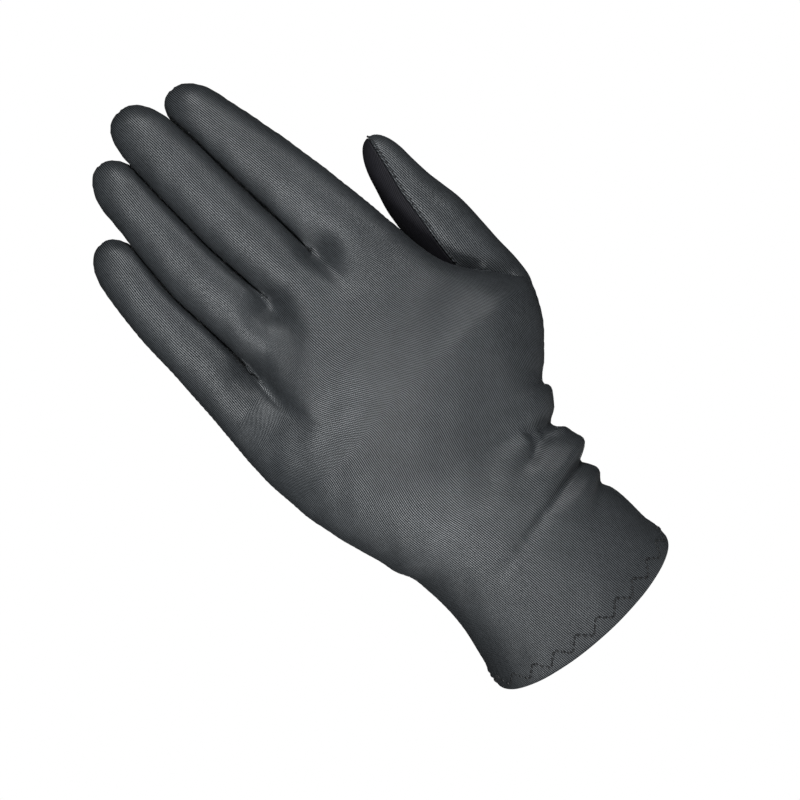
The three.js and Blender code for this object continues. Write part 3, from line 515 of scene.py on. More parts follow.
@dataclass
class GloveHand:
    """The hand and the four fingers: one fine grid, split into the back and the palm panel."""

    across_finger: int = 20
    round_side: int = 16
    side_angle: float = 32.0
    seam_crowding: float = 1.7
    wrist_step: float = 1.15 * MM
    palm_step: float = 1.4 * MM
    wrist_top: float = 80 * MM
    finger_rows: int = 54
    tip_rows: int = 12
    row_crowding: float = 1.15
    rim_rows: tuple[float, ...] = (0, 0.12, 0.3, 0.6, 1.0)
    rim_round: float = 1.0 * MM
    rim_inset: float = 0.55 * MM
    rim_lift: float = 0.6 * MM
    rim_place: float = 1.0 * MM
    rim_width: float = 1.8 * MM
    hollows: tuple[tuple[float, float, float, float], ...] = (
        (16.5 * MM, 156.5 * MM, 5.6 * MM, 3.8 * MM),
        (-10 * MM, 152.5 * MM, 5.6 * MM, 3.8 * MM),
        (-30 * MM, 140.5 * MM, 5.4 * MM, 3.6 * MM),
        (50 * MM, 84 * MM, 8.0 * MM, 1.2 * MM),
        (49 * MM, 101 * MM, 8.0 * MM, -1.0 * MM),
    )
    relief: ClothRelief = field(default_factory=ClothRelief)
    surface: Surface = field(default_factory=Surface)

    def side_turns(self) -> np.ndarray:
        """Angles of the points inside a finger's side, crowded towards its seam."""
        share = 1 - 2 * np.arange(1, self.round_side) / self.round_side
        return self.side_angle * signed_power(share, self.seam_crowding)

    def over_turns(self) -> np.ndarray:
        """Angles of the points over a finger's back, from its little finger's side."""
        return np.linspace(180 - self.side_angle, self.side_angle, self.across_finger + 1)

    def finger_angles(self) -> np.ndarray:
        """Angles round a finger: over the back, down a side, over the palm and up the other."""
        over = self.over_turns()
        turns = self.side_turns()
        return np.concatenate([over, turns, -over[::-1], -180 - turns[::-1]])

    def sizes(self) -> None:
        """Works out the numbers of columns and where each column has its root."""
        self.over_back = 4 * self.across_finger + 1
        self.inner_side = self.round_side - 1
        self.half_ring = self.over_back + self.inner_side
        self.seams = (self.over_back - 1 + self.round_side // 2,
                      2 * self.half_ring - self.round_side // 2)
        heights = np.array([EDGE_UP_LITTLE, *PARTING_UP, EDGE_UP_INDEX]) * PALM_LENGTH
        over, turns = self.over_turns(), self.side_turns()
        points, root_z = [], []
        for palm in (False, True):
            sign = -1 if palm else 1
            order = range(self.over_back)
            for place in reversed(order) if palm else order:
                k = min(place // self.across_finger, 3)
                i = place - k * self.across_finger
                z = heights[k] + (heights[k + 1] - heights[k]) * i / self.across_finger
                at = np.array([z])
                point = finger_points(k, np.array([sign * over[i]]), at)[0]
                if i == 0 and k > 0:
                    other = finger_points(k - 1, np.array([sign * over[-1]]), at)[0]
                    point = (point + other) / 2 - np.array([0, WEB_LIFT * sign, 0])
                points.append(point)
                root_z.append(z)
            for turn in turns:
                k, degrees, z = (0, 180 + turn, heights[0]) if palm else (3, turn, heights[4])
                points.append(finger_points(k, np.array([degrees]), np.array([z]))[0])
                root_z.append(z)
        self.root = np.array(points)
        self.root_z = np.array(root_z)
        low, high = self.root[:, 0].min(), self.root[:, 0].max()
        across = np.clip(2 * (self.root[:, 0] - low) / (high - low) - 1, -1, 1)
        self.angles = np.arccos(across)
        self.angles[self.half_ring:] *= -1
        end = self.angles[self.over_back - 1]
        start = math.pi - self.angles[0]
        share = turns / self.side_angle
        self.angles[self.over_back:self.half_ring] = end * share
        self.angles[self.half_ring + self.over_back:] = math.pi + start * share

    def form(self, z: np.ndarray) -> np.ndarray:
        """The hand's smooth form at each column's height, without the valleys."""
        up = z / PALM_LENGTH
        value = {name: HAND_FORM.at(name, up) for name in HAND_FORM.columns[1:]}
        low = -value["little"] * value["across"]
        high = value["thumb"] * value["across"]
        cosine, on_palm = np.cos(self.angles), np.sin(self.angles) < 0
        sine = (1 - np.abs(cosine) ** value["power"]) ** (1 / value["power"])
        swell = np.exp(-(((cosine - BALL_PLACE) / BALL_SPREAD) ** 2))
        ball = np.where(on_palm, value["ball"] * THUMB_BALL * swell, 0)
        lift = value["deep"] * sine * np.where(on_palm, 1, -1) + ball * sine
        middle = (-value["offset"] * PALM_OFFSET
                  + value["drop"] * THUMB_DROP * np.maximum(cosine, 0) ** 2
                  + smoothstep(up, LITTLE_DROP_FROM, LITTLE_DROP_TO) * LITTLE_DROP
                  * np.maximum(-cosine, 0) ** 2)
        tilt = np.radians(value["tilt"] * CUFF_TILT)
        x = (low + high) / 2 + (high - low) / 2 * cosine
        point = np.stack([x, middle + lift * np.cos(tilt), z + lift * np.sin(tilt)], axis=-1)
        out = np.stack([cosine, -np.sin(self.angles), 0 * x], axis=-1)
        shown = np.where(on_palm, smoothstep(cosine, FOLDS_FROM, FOLDS_FULL), 1)
        rim = np.clip((self.rim_round - z) / self.rim_round, 0, 1)
        inset = self.rim_inset * (1 - np.sqrt(1 - rim**2))
        return point + out * (fold_rise(x, point[:, 2]) * shown - inset)[:, None]

    def row(self, up: float) -> np.ndarray:
        """The ring of points at a share of the palm's length."""
        level = LEVEL_UP * PALM_LENGTH
        if up <= LEVEL_UP:
            z = np.full(len(self.root), up * PALM_LENGTH)
        else:
            z = level + (self.root_z - level) * (up - LEVEL_UP) / (1 - LEVEL_UP)
        t = np.clip((z - self.root_z + KNUCKLE_RUN) / KNUCKLE_RUN, 0, 1)
        sunk = (t * t * (3 - 2 * t)) ** 2
        return self.form(z) + (self.root - self.form(self.root_z)) * sunk[:, None]

    def rows_up(self) -> np.ndarray:
        """Heights of the rows, as shares of the palm's length, close at the rim and the wrist."""
        rim = np.array(self.rim_rows) * self.rim_round
        wrist = np.arange(self.rim_round + self.wrist_step, self.wrist_top, self.wrist_step)
        palm = np.linspace(self.wrist_top, PALM_LENGTH,
                           int((PALM_LENGTH - self.wrist_top) / self.palm_step) + 1)
        return np.concatenate([rim, wrist, palm]) / PALM_LENGTH

    def add_hand(self) -> np.ndarray:
        """Adds the rings from the cuff to the finger roots.

        Returns:
            The point numbers of the last ring.
        """
        crown = 2 * self.across_finger + self.across_finger // 2
        crowns = (crown, self.half_ring + self.over_back - 1 - crown)
        columns = np.arange(2 * self.half_ring)
        is_back = (columns < self.seams[0]) | (columns >= self.seams[1])
        zero = {Panel.BACK: 0.0, Panel.PALM: 0.0}
        lower = None
        level = LEVEL_UP * PALM_LENGTH
        for up in self.rows_up():
            ring = self.row(up)
            across, seam = ring_coordinates(ring, crowns, self.seams, zero)
            slant = max(up - LEVEL_UP, 0) / (1 - LEVEL_UP)
            along = min(up, LEVEL_UP) * PALM_LENGTH + (self.root_z - level) * slant
            upper = self.surface.add_ring(ring, across, along, seam)
            if lower is not None:
                self.surface.add_band(lower, upper, is_back)
            lower = upper
        return lower

    def add_webs(self) -> list[np.ndarray]:
        """Adds the short webs between the fingers, and returns their point numbers."""
        webs = []
        turns = self.side_turns()
        for k, up in enumerate(PARTING_UP):
            share = np.arange(1, self.round_side) / self.round_side
            z = up * PALM_LENGTH + WEB_RISE * np.sin(np.pi * share)
            web = (finger_points(k, turns, z) + finger_points(k + 1, 180 - turns, z)) / 2
            knit = {panel: web[:, 1] for panel in Panel}
            webs.append(self.surface.add_ring(web, knit, z, np.full(len(web), FINGER_GAP)))
        return webs

    def add_finger(self, k: int, ring: np.ndarray) -> None:
        """Adds one finger above its ring of root points.

        Args:
            k: the finger's number, 0 for the little finger.
            ring: the numbers of its root points.
        """
        finger = FINGERS[k]
        angles = self.finger_angles()
        points, knit, _ = self.surface.arrays()
        base = points[ring]
        start_z = base[:, 2]
        shift = base - finger_points(k, angles, start_z)
        foot = finger.root + TIP_START * finger.length
        top = finger.root + finger.length
        half = len(ring) // 2
        seams = (self.across_finger + self.round_side // 2, len(ring) - self.round_side // 2)
        crowns = (self.across_finger // 2, half + self.across_finger // 2)
        origin = {panel: float(knit[panel][ring[crown]][0]) for panel, crown in zip(Panel, crowns)}
        columns = np.arange(len(ring))
        is_back = (columns < seams[0]) | (columns >= seams[1])
        along = start_z.copy()
        shares = np.linspace(0, 1, self.finger_rows + 1)[1:] ** self.row_crowding
        heights = [start_z + (foot - start_z) * share for share in shares]
        sines = np.sin(np.linspace(0, math.pi / 2, self.tip_rows + 2)[1:-1])
        heights += [np.full(len(ring), foot + (top - foot) * sine) for sine in sines]
        lower, previous = ring, base
        for z in heights:
            left = np.maximum(1 - (z - start_z) / BLEND_RUN, 0) ** 2
            place = finger_points(k, angles, z) + shift * left[:, None]
            along = along + np.linalg.norm(place - previous, axis=1)
            across, seam = ring_coordinates(place, crowns, seams, origin)
            upper = self.surface.add_ring(place, across, along, seam)
            self.surface.add_band(lower, upper, is_back)
            lower, previous = upper, place
        end_x, end_y, _, _ = finger_section(k, np.array([top]))
        pole = self.surface.add_ring(
            np.array([[end_x[0], end_y[0], top]]),
            {panel: np.array([origin[panel]]) for panel in Panel},
            np.array([along.mean()]), np.array([0.0]))
        self.surface.add_cap(lower, int(pole[0]), is_back)

    def build(self, thumb: "Thumb") -> None:
        """Makes the whole grid, then lifts its relief.

        Args:
            thumb: the thumb that is sewn in, whose seam has a raised rim of cloth.
        """
        self.sizes()
        root_ring = self.add_hand()
        webs = self.add_webs()
        a, start = self.across_finger, self.half_ring
        for k in range(4):
            right = root_ring[self.over_back:start] if k == 3 else webs[k]
            left = root_ring[start + self.over_back:] if k == 0 else webs[k - 1][::-1]
            palm = start + (3 - k) * a
            self.add_finger(k, np.concatenate(
                [root_ring[k * a:(k + 1) * a + 1], right, root_ring[palm:palm + a + 1], left]))
        self.points, self.knit, seam = self.surface.arrays()
        out = outward_at(self.points, self.surface.faces)
        along = self.knit[Panel.BACK][:, 1]
        cuff = smoothstep(self.points[:, 2] - self.points[:, 1] * CUFF_SLOPE, 0, CUFF_RUN)
        lift = self.relief.lift(self.points, along, seam)
        lift *= CUFF_RELIEF + (1 - CUFF_RELIEF) * cuff
        away = thumb.distance(self.points)
        lift += self.rim_lift * np.exp(-(((away - self.rim_place) / self.rim_width) ** 2))
        self.points = self.points + out * lift[:, None]
        self.points[:, 1] += dented(self.points, out, self.hollows)
        self.out = outward_at(self.points, self.surface.faces)


@dataclass
class Thumb:
    """The thumb: two panels of its own, sewn into the thumb side of the hand.

    probe is the small turn, in degrees, that shows which way the seam's cloth faces. Below the
    thumb's root, distance counts foot_weight times.
    """

    columns: int = 100
    rows: int = 92
    tip_rows: int = 12
    crowding: float = 0.65
    front_lip: float = 0.15
    probe: float = 2.0
    foot_weight: float = 3.0
    dents: tuple[tuple[float, float, float, float], ...] = (
        (49.5 * MM, 113.5 * MM, 5.6 * MM, 2.6 * MM),
        (57.5 * MM, 104.8 * MM, 5.2 * MM, 2.2 * MM),
        (55.4 * MM, 112.8 * MM, 1.4 * MM, -0.5 * MM),
    )
    relief: ClothRelief = field(default_factory=lambda: ClothRelief(
        groove=0.5 * MM, groove_width=0.3 * MM, lip=0.6 * MM, lip_place=0.55 * MM,
        lip_width=0.45 * MM, pucker=0.4, pucker_pitch=1.9 * MM, uneven=0.10 * MM))
    surface: Surface = field(default_factory=Surface)

    def turns(self) -> np.ndarray:
        """Angle round the thumb of each column, from its first seam, crowded at the seams."""
        share = np.arange(self.columns) / self.columns
        return -360 * (share - self.crowding * np.sin(4 * np.pi * share) / (4 * np.pi))

    def ring(self, up: float, turns: np.ndarray) -> np.ndarray:
        """Points round the thumb.

        Args:
            up: share of the thumb's length.
            turns: angles from its first seam.

        Returns:
            One row of x, y, z for each angle.
        """
        at = np.array([up])
        value = {name: float(THUMB_FORM.at(name, at)[0]) for name in THUMB_FORM.columns[1:]}
        share = float(tip_share(at, THUMB_TIP_START)[0])
        angle = np.radians(90 + value["seam"] + turns)
        x = (THUMB_SIDE + value["side"] * THUMB_WIDTH
             + value["wide"] * THUMB_WIDTH / 2 * share * np.cos(angle))
        y = value["back"] * THUMB_DEPTH - value["deep"] * THUMB_DEPTH / 2 * share * np.sin(angle)
        return np.stack([x, y, np.full_like(x, THUMB_ROOT + up * THUMB_LENGTH)], axis=-1)

    def build(self) -> None:
        """Makes the thumb's grid and lifts its relief."""
        half = self.columns // 2
        seams = (0, half)
        crowns = (half // 2, half + half // 2)
        is_back = np.arange(self.columns) < half
        origin = {Panel.BACK: 0.0, Panel.PALM: 0.0}
        sines = np.sin(np.linspace(0, math.pi / 2, self.tip_rows + 2)[1:-1])
        ups = np.concatenate([np.linspace(0, THUMB_TIP_START, self.rows),
                              THUMB_TIP_START + (1 - THUMB_TIP_START) * sines])
        lower = None
        for up in ups:
            ring = self.ring(up, self.turns())
            across, seam = ring_coordinates(ring, crowns, seams, origin)
            along = np.full(self.columns, THUMB_ROOT + up * THUMB_LENGTH)
            upper = self.surface.add_ring(ring, across, along, seam)
            if lower is not None:
                self.surface.add_band(lower, upper, is_back)
            lower = upper
        pole = self.surface.add_ring(self.ring(1.0, np.zeros(1)),
                                     {panel: np.zeros(1) for panel in Panel},
                                     np.array([THUMB_ROOT + THUMB_LENGTH]), np.zeros(1))
        self.surface.add_cap(lower, int(pole[0]), is_back)
        self.points, self.knit, seam = self.surface.arrays()
        out = outward_at(self.points, self.surface.faces)
        column = np.arange(len(self.points)) % self.columns
        lift = self.relief.lift(self.points, self.points[:, 2], seam)
        lift = np.where(column < half, lift, lift * self.front_lip)
        lift -= dented(self.points, out, self.dents)
        self.points = self.points + out * lift[:, None]
        self.out = outward_at(self.points, self.surface.faces)

    def distance(self, points: np.ndarray) -> np.ndarray:
        """About how far each point lies outside the thumb's surface, below 0 inside it."""
        up = (points[:, 2] - THUMB_ROOT) / THUMB_LENGTH
        value = {name: THUMB_FORM.at(name, up) for name in ("side", "back", "wide", "deep")}
        wide = value["wide"] * THUMB_WIDTH / 2
        deep = value["deep"] * THUMB_DEPTH / 2
        x = points[:, 0] - THUMB_SIDE - value["side"] * THUMB_WIDTH
        y = points[:, 1] - value["back"] * THUMB_DEPTH
        near = (np.hypot(x / wide, y / deep) - 1) * (wide + deep) / 2
        return near + self.foot_weight * np.maximum(-up, 0) * THUMB_LENGTH

    def seam_path(self, start: float, end: float, aside: float, pitch: float,
                  lifted: float) -> np.ndarray:
        """Places along the seam on the thumb's back, a small distance to its outer side.

        Args:
            start: lowest height.
            end: highest height.
            aside: distance from the seam.
            pitch: distance from one place to the next.
            lifted: how far the places lie above the cloth.

        Returns:
            One row of x, y, z for each place.
        """
        places = []
        for z in np.arange(start, end, pitch):
            up = (z - THUMB_ROOT) / THUMB_LENGTH
            wide = float(THUMB_FORM.at("wide", np.array([up]))[0]) * THUMB_WIDTH / 2
            turn = -math.degrees(aside / wide)
            point, beside = self.ring(up, np.array([turn, turn - self.probe]))
            across = (beside - point) / np.linalg.norm(beside - point)
            out = np.cross(across, (0, 0, 1.0))
            out *= np.sign(out @ (point - self.ring(up, np.array([0, 180])).mean(axis=0)))
            places.append(point + out / np.linalg.norm(out) * lifted)
        return np.array(places)


@dataclass
class PanelMesh:
    """A cut piece of cloth as a closed solid: outside, inside and the edge between them."""

    vertices: np.ndarray
    faces: list[tuple[int, ...]]
    knit: np.ndarray


def seam_shifts(points: np.ndarray, faces: list[tuple[int, ...]], panels: list[Panel],
                panel: Panel, gap: float) -> np.ndarray:
    """How far the points on a panel's edge draw back from the seam."""
    own, other = set(), set()
    for face, side in zip(faces, panels):
        (own if side is panel else other).update(int(corner) for corner in face)
    shared = own & other
    shift = np.zeros_like(points)
    for face, side in zip(faces, panels):
        if side is not panel or shared.isdisjoint(face):
            continue
        inner = [corner for corner in face if corner not in shared]
        for corner in face:
            if corner in shared:
                for near in inner:
                    way = points[near] - points[corner]
                    shift[corner] += way / max(np.linalg.norm(way), 1e-12)
    size = np.linalg.norm(shift, axis=1, keepdims=True)
    return np.where(size > 0, shift / np.maximum(size, 1e-12) * gap / 2, 0)


def cut_panel(form: GloveHand | Thumb, panel: Panel, gap: float) -> PanelMesh:
    """Cuts one panel from a sewn form and gives it the thickness of the knit.

    Args:
        form: the hand or the thumb.
        panel: which panel is cut.
        gap: opening left along a seam.

    Returns:
        The panel's closed mesh.
    """
    surface = form.surface
    shift = seam_shifts(form.points, surface.faces, surface.panels, panel, gap)
    own = [face for face, side in zip(surface.faces, surface.panels) if side is panel]
    used = np.unique(np.concatenate([np.array(face) for face in own]))
    number = {int(old): new for new, old in enumerate(used)}
    faces = [tuple(number[int(corner)] for corner in face) for face in own]
    outer = (form.points + shift)[used]
    return close_cloth(outer, outer - form.out[used] * KNIT, faces, form.knit[panel][used])


def close_cloth(outer: np.ndarray, inner: np.ndarray, faces: list[tuple[int, ...]],
                knit: np.ndarray) -> PanelMesh:
    """A closed solid between an outside and an inside that have the same faces."""
    count = len(outer)
    edges: dict[tuple[int, int], None] = {}
    for face in faces:
        for a, b in zip(face, face[1:] + face[:1]):
            if (b, a) in edges:
                del edges[(b, a)]
            else:
                edges[(a, b)] = None
    inside = [tuple(corner + count for corner in reversed(face)) for face in faces]
    rim = [(b, a, a + count, b + count) for a, b in edges]
    return PanelMesh(np.concatenate([outer, inner]), faces + inside + rim,
                     np.concatenate([knit, knit]))


def placed(name: str, data: bpy.types.ID) -> bpy.types.Object:
    """A new object in the scene."""
    piece = bpy.data.objects.new(name, data)
    bpy.context.scene.collection.objects.link(piece)
    return piece


def mesh_object(name: str, shape: PanelMesh) -> bpy.types.Object:
    """A smooth-shaded object with its knit coordinates as a UV map."""
    mesh = bpy.data.meshes.new(name)
    mesh.from_pydata(shape.vertices.tolist(), [], shape.faces)
    corners = np.zeros(len(mesh.loops), dtype=np.int32)
    mesh.loops.foreach_get("vertex_index", corners)
    layer = mesh.uv_layers.new(name="knit")
    layer.uv.foreach_set("vector", shape.knit[corners].astype(np.float32).ravel())
    mesh.polygons.foreach_set("use_smooth", np.ones(len(mesh.polygons), dtype=bool))
    mesh.update()
    return placed(name, mesh)


def filled(form: GloveHand | Thumb, foot: int, depth: float, drop: float) -> PanelMesh:
    """The solid inside a sewn form, its open foot carried down and closed with a fan.

    Args:
        form: the hand or the thumb.
        foot: number of points round its open foot, which are its first ones.
        depth: how far inside the form the solid's surface lies.
        drop: how far the foot is carried down.

    Returns:
        The closed mesh.
    """
    body = form.points - form.out * depth
    lower = body[:foot] - np.array([0, 0, drop])
    first = len(body)
    centre = first + foot
    closing = []
    for i in range(foot):
        j = (i + 1) % foot
        closing.append((first + i, first + j, j, i))
        closing.append((centre, first + j, first + i))
    vertices = np.concatenate([body, lower, lower.mean(axis=0, keepdims=True)])
    return PanelMesh(vertices, form.surface.faces + closing, np.zeros((len(vertices), 2)))


def settle(piece: bpy.types.Object) -> None:
    """Turns an object's modifiers into its own plain mesh."""
    graph = bpy.context.evaluated_depsgraph_get()
    mesh = bpy.data.meshes.new_from_object(piece.evaluated_get(graph), depsgraph=graph,
                                           preserve_all_data_layers=True)
    piece.modifiers.clear()
    old = piece.data
    piece.data = mesh
    mesh.name = old.name
    bpy.data.meshes.remove(old)


def cut_away(piece: bpy.types.Object, cutter: bpy.types.Object) -> None:
    """Cuts one closed mesh out of another."""
    modifier = piece.modifiers.new("cut", "BOOLEAN")
    modifier.operation = "DIFFERENCE"
    modifier.solver = "MANIFOLD"
    modifier.object = cutter
    settle(piece)


def discard(piece: bpy.types.Object) -> None:
    """Removes a helper object and its mesh."""
    mesh = piece.data
    bpy.data.objects.remove(piece)
    bpy.data.meshes.remove(mesh)


class Signal:
    """A value socket used in Python arithmetic: each operator adds its Math node."""

    def __init__(self, shader: "Tree", socket: bpy.types.NodeSocket) -> None:
        """Wraps a socket of a tree."""
        self.shader = shader
        self.socket = socket

    def math(self, operation: str, *values: "Signal | float", clamp: bool = False) -> "Signal":
        """Adds a Math node with this socket first."""
        node = self.shader.node("ShaderNodeMath", {"operation": operation, "use_clamp": clamp},
                                dict(enumerate((self, *values))))
        return Signal(self.shader, node.outputs[0])

    def __add__(self, other: "Signal | float") -> "Signal":
        """Sum."""
        return self.math("ADD", other)

    __radd__ = __add__

    def __mul__(self, other: "Signal | float") -> "Signal":
        """Product."""
        return self.math("MULTIPLY", other)

    __rmul__ = __mul__

    def __sub__(self, other: "Signal | float") -> "Signal":
        """Difference."""
        return self.math("SUBTRACT", other)

    def __rsub__(self, other: float) -> "Signal":
        """Difference from a number."""
        return (self * -1) + other

    def __pow__(self, power: float) -> "Signal":
        """Power."""
        return self.math("POWER", power)

    def sine(self) -> "Signal":
        """Sine."""
        return self.math("SINE")

    def size(self) -> "Signal":
        """Value without its sign."""
        return self.math("ABSOLUTE")

    def fraction(self) -> "Signal":
        """Part after the decimal point."""
        return self.math("FRACT")

    def step(self, low: float, high: float) -> "Signal":
        """Smooth step from 0 at low to 1 at high."""
        node = self.shader.node("ShaderNodeMapRange", {"interpolation_type": "SMOOTHSTEP"},
                                {"Value": self, "From Min": low, "From Max": high})
        return Signal(self.shader, node.outputs[0])


Colour = tuple[float, float, float]


class Tree:
    """A node tree, with one method that adds every node."""

    def __init__(self, tree: bpy.types.NodeTree) -> None:
        """Empties the tree."""
        self.tree = tree
        tree.nodes.clear()

    def node(self, kind: str, settings: dict[str, object] | None = None,
             inputs: dict[str | int, object] | None = None) -> bpy.types.Node:
        """Adds a node.

        Args:
            kind: the node's type.
            settings: its properties, set first.
            inputs: the values or links of its sockets.

        Returns:
            The node.
        """
        node = self.tree.nodes.new(kind)
        for name, value in (settings or {}).items():
            setattr(node, name, value)
        for name, value in (inputs or {}).items():
            if isinstance(value, Signal):
                self.tree.links.new(value.socket, node.inputs[name])
            elif isinstance(value, bpy.types.NodeSocket):
                self.tree.links.new(value, node.inputs[name])
            else:
                node.inputs[name].default_value = value
        return node


class Finish(Tree):
    """A material's node tree."""

    def __init__(self, name: str) -> None:
        """Starts an empty material."""
        self.material = bpy.data.materials.new(name)
        self.material.use_nodes = True
        super().__init__(self.material.node_tree)

    def noise(self, place: bpy.types.NodeSocket, scale: float, detail: float) -> Signal:
        """Noise between 0 and 1 at a place."""
        node = self.node("ShaderNodeTexNoise", {"noise_dimensions": "3D"},
                         {"Vector": place, "Scale": scale, "Detail": detail})
        return Signal(self, node.outputs[0])

    def mix(self, factor: Signal, low: Colour | bpy.types.NodeSocket,
            high: Colour | bpy.types.NodeSocket) -> bpy.types.NodeSocket:
        """Colour between two colours."""
        def whole(colour: Colour | bpy.types.NodeSocket) -> object:
            """A plain colour with its alpha, or the socket as it is."""
            return (*colour, 1.0) if isinstance(colour, tuple) else colour
        node = self.node("ShaderNodeMix", {"data_type": "RGBA"},
                         {0: factor, 6: whole(low), 7: whole(high)})
        return node.outputs[2]

    def surface(self, settings: dict[str, object], gap: Signal | None = None,
                depth: Colour = (0.0, 0.0, 0.0)) -> None:
        """Ends the tree in a surface.

        Args:
            settings: the values or links of its sockets.
            gap: share at each place of a dark, matte finish mixed in: in the knit, its openings and
                painted shade in its valleys.
            depth: colour of that dark finish, which holds the painted shade.
        """
        shader = self.node("ShaderNodeBsdfPrincipled", None, settings)
        if gap is not None:
            dark = self.node("ShaderNodeBsdfPrincipled", None,
                             {"Base Color": (*depth, 1.0), "Roughness": 1.0,
                              "Specular IOR Level": 0.0})
            shader = self.node("ShaderNodeMixShader", None,
                               {0: gap, 1: shader.outputs[0], 2: dark.outputs[0]})
        self.node("ShaderNodeOutputMaterial", None, {"Surface": shader.outputs[0]})


@dataclass(frozen=True)
class KnitFinish:
    """Fine jersey knit: columns of loops, with dark gaps mixed in between them: openings of the
    knit, and painted shade in the valleys.

    wale is the distance between two columns, course between two loops of a column. turn is how
    far the columns lean to the side as they rise, up to the height turned_below.
    """

    name: str
    shade: Colour
    light: Colour
    gap_and_shade: Colour
    wale: float = 0.70 * MM
    course: float = 0.62 * MM
    turn: float = 0.17
    turned_below: float = 120 * MM
    loop_slant: float = 0.42
    relief: float = 0.17 * MM
    gap_and_shade_share: float = 1.0
    roughness: float = 0.40
    roughness_spread: float = 0.25
    specular: float = 0.95
    sway_scale: float = 260.0
    sway: tuple[float, float] = (0.35, 0.25)
    roundness: float = 0.6
    loop_share: float = 0.38
    gap_and_shade_edge: float = 0.40
    gap_and_shade_bridge: float = 0.30
    fleck_scale: tuple[float, float, float] = (1400.0, 330.0, 1.0)
    fleck_steps: tuple[float, float] = (0.32, 0.68)
    fleck_share: float = 0.55
    cloud_scale: float = 34.0
    cloud_steps: tuple[float, float] = (0.3, 0.7)
    bump: float = 0.8

    def build(self) -> bpy.types.Material:
        """Makes the material."""
        finish = Finish(self.name)
        knit = finish.node("ShaderNodeUVMap", {"uv_map": "knit"}).outputs[0]
        place = finish.node("ShaderNodeTexCoord").outputs["Object"]
        parts = finish.node("ShaderNodeSeparateXYZ", None, {0: knit})
        sway = finish.noise(place, self.sway_scale, 2) - 0.5
        turned = Signal(finish, parts.outputs[1]).math("MINIMUM", self.turned_below)
        across = ((Signal(finish, parts.outputs[0]) + turned * self.turn) * (1 / self.wale)
                  + sway * self.sway[0])
        along = Signal(finish, parts.outputs[1]) * (1 / self.course) + sway * self.sway[1]
        ridge = (across * math.pi).sine().size()
        slant = (across.fraction() - 0.5).size() * (2 * self.loop_slant)
        loop = ((along + slant) * (2 * math.pi)).sine() * 0.5 + 0.5
        height = ((ridge ** self.roundness) * (1 - self.loop_share)
                  + ridge * loop * self.loop_share)
        # Painted shade: the valleys between the columns, with the knit's openings, are mixed
        # towards a dark, matte finish.
        gap_and_shade = (1 - ridge.step(self.gap_and_shade_edge, 1.0)) * (1 - loop * self.gap_and_shade_bridge)
        fleck = finish.noise(finish.node("ShaderNodeVectorMath", {"operation": "MULTIPLY"},
                                         {0: knit, 1: self.fleck_scale}).outputs[0], 1.0, 2)
        cloud = finish.noise(place, self.cloud_scale, 3)
        tone = (fleck.step(*self.fleck_steps) * self.fleck_share
                + cloud.step(*self.cloud_steps) * (1 - self.fleck_share))
        body = finish.mix(tone, self.shade, self.light)
        bump = finish.node("ShaderNodeBump", None,
                           {"Strength": self.bump, "Distance": self.relief, "Height": height})
        finish.surface({
            "Base Color": body,
            "Roughness": (1 - ridge) * self.roughness_spread + self.roughness,
            "Specular IOR Level": self.specular,
            "Normal": bump.outputs[0],
        }, gap_and_shade * self.gap_and_shade_share, self.gap_and_shade)
        return finish.material


@dataclass(frozen=True)
class ThreadFinish:
    """Sewing thread, twisted and slightly glossy, with a painted highlight: its colour is lighter
    on the crests of the twist, in random patches.
    """

    name: str
    colour: Colour
    twist: float = 2600.0
    relief: float = 0.05 * MM
    bump: float = 0.5
    roughness: float = 0.5
    glint_patch_scale: float = 900.0
    glint_gain: float = 2.2
    glint_lift: float = 0.004

    def build(self) -> bpy.types.Material:
        """Makes the material."""
        finish = Finish(self.name)
        place = finish.node("ShaderNodeTexCoord").outputs["Object"]
        parts = finish.node("ShaderNodeSeparateXYZ", None, {0: place})
        run = Signal(finish, parts.outputs[0]) + Signal(finish, parts.outputs[2])
        strand = (run * (2 * math.pi * self.twist)).sine() * 0.5 + 0.5
        # Painted highlight: the lighter colour laid on the crests of the twist.
        glint_colour = tuple(min(1.0, value * self.glint_gain + self.glint_lift)
                        for value in self.colour)
        bump = finish.node("ShaderNodeBump", None,
                           {"Strength": self.bump, "Distance": self.relief,
                            "Height": strand})
        finish.surface({
            "Base Color": finish.mix(strand * finish.noise(place, self.glint_patch_scale, 1),
                                     self.colour, glint_colour),
            "Roughness": self.roughness,
            "Normal": bump.outputs[0],
        })
        return finish.material


# The third colour of each knit is the dark of its openings and of the painted shade in its valleys.
CHARCOAL_KNIT = KnitFinish("charcoal_knit", (0.033, 0.0365, 0.040), (0.064, 0.070, 0.076),
                           (0.002, 0.0025, 0.003))
# Near-black knit for the thumb's front panel, much darker than the charcoal knit of the rest.
BLACK_KNIT = KnitFinish("black_knit", (0.0062, 0.0058, 0.0080), (0.0100, 0.0092, 0.0130),
                        (0.0015, 0.0015, 0.0020), relief=0.10 * MM, gap_and_shade_share=0.5,
                        roughness=0.62, specular=0.3)
BLACK_THREAD = ThreadFinish("black_thread", (0.0040, 0.0040, 0.0046))


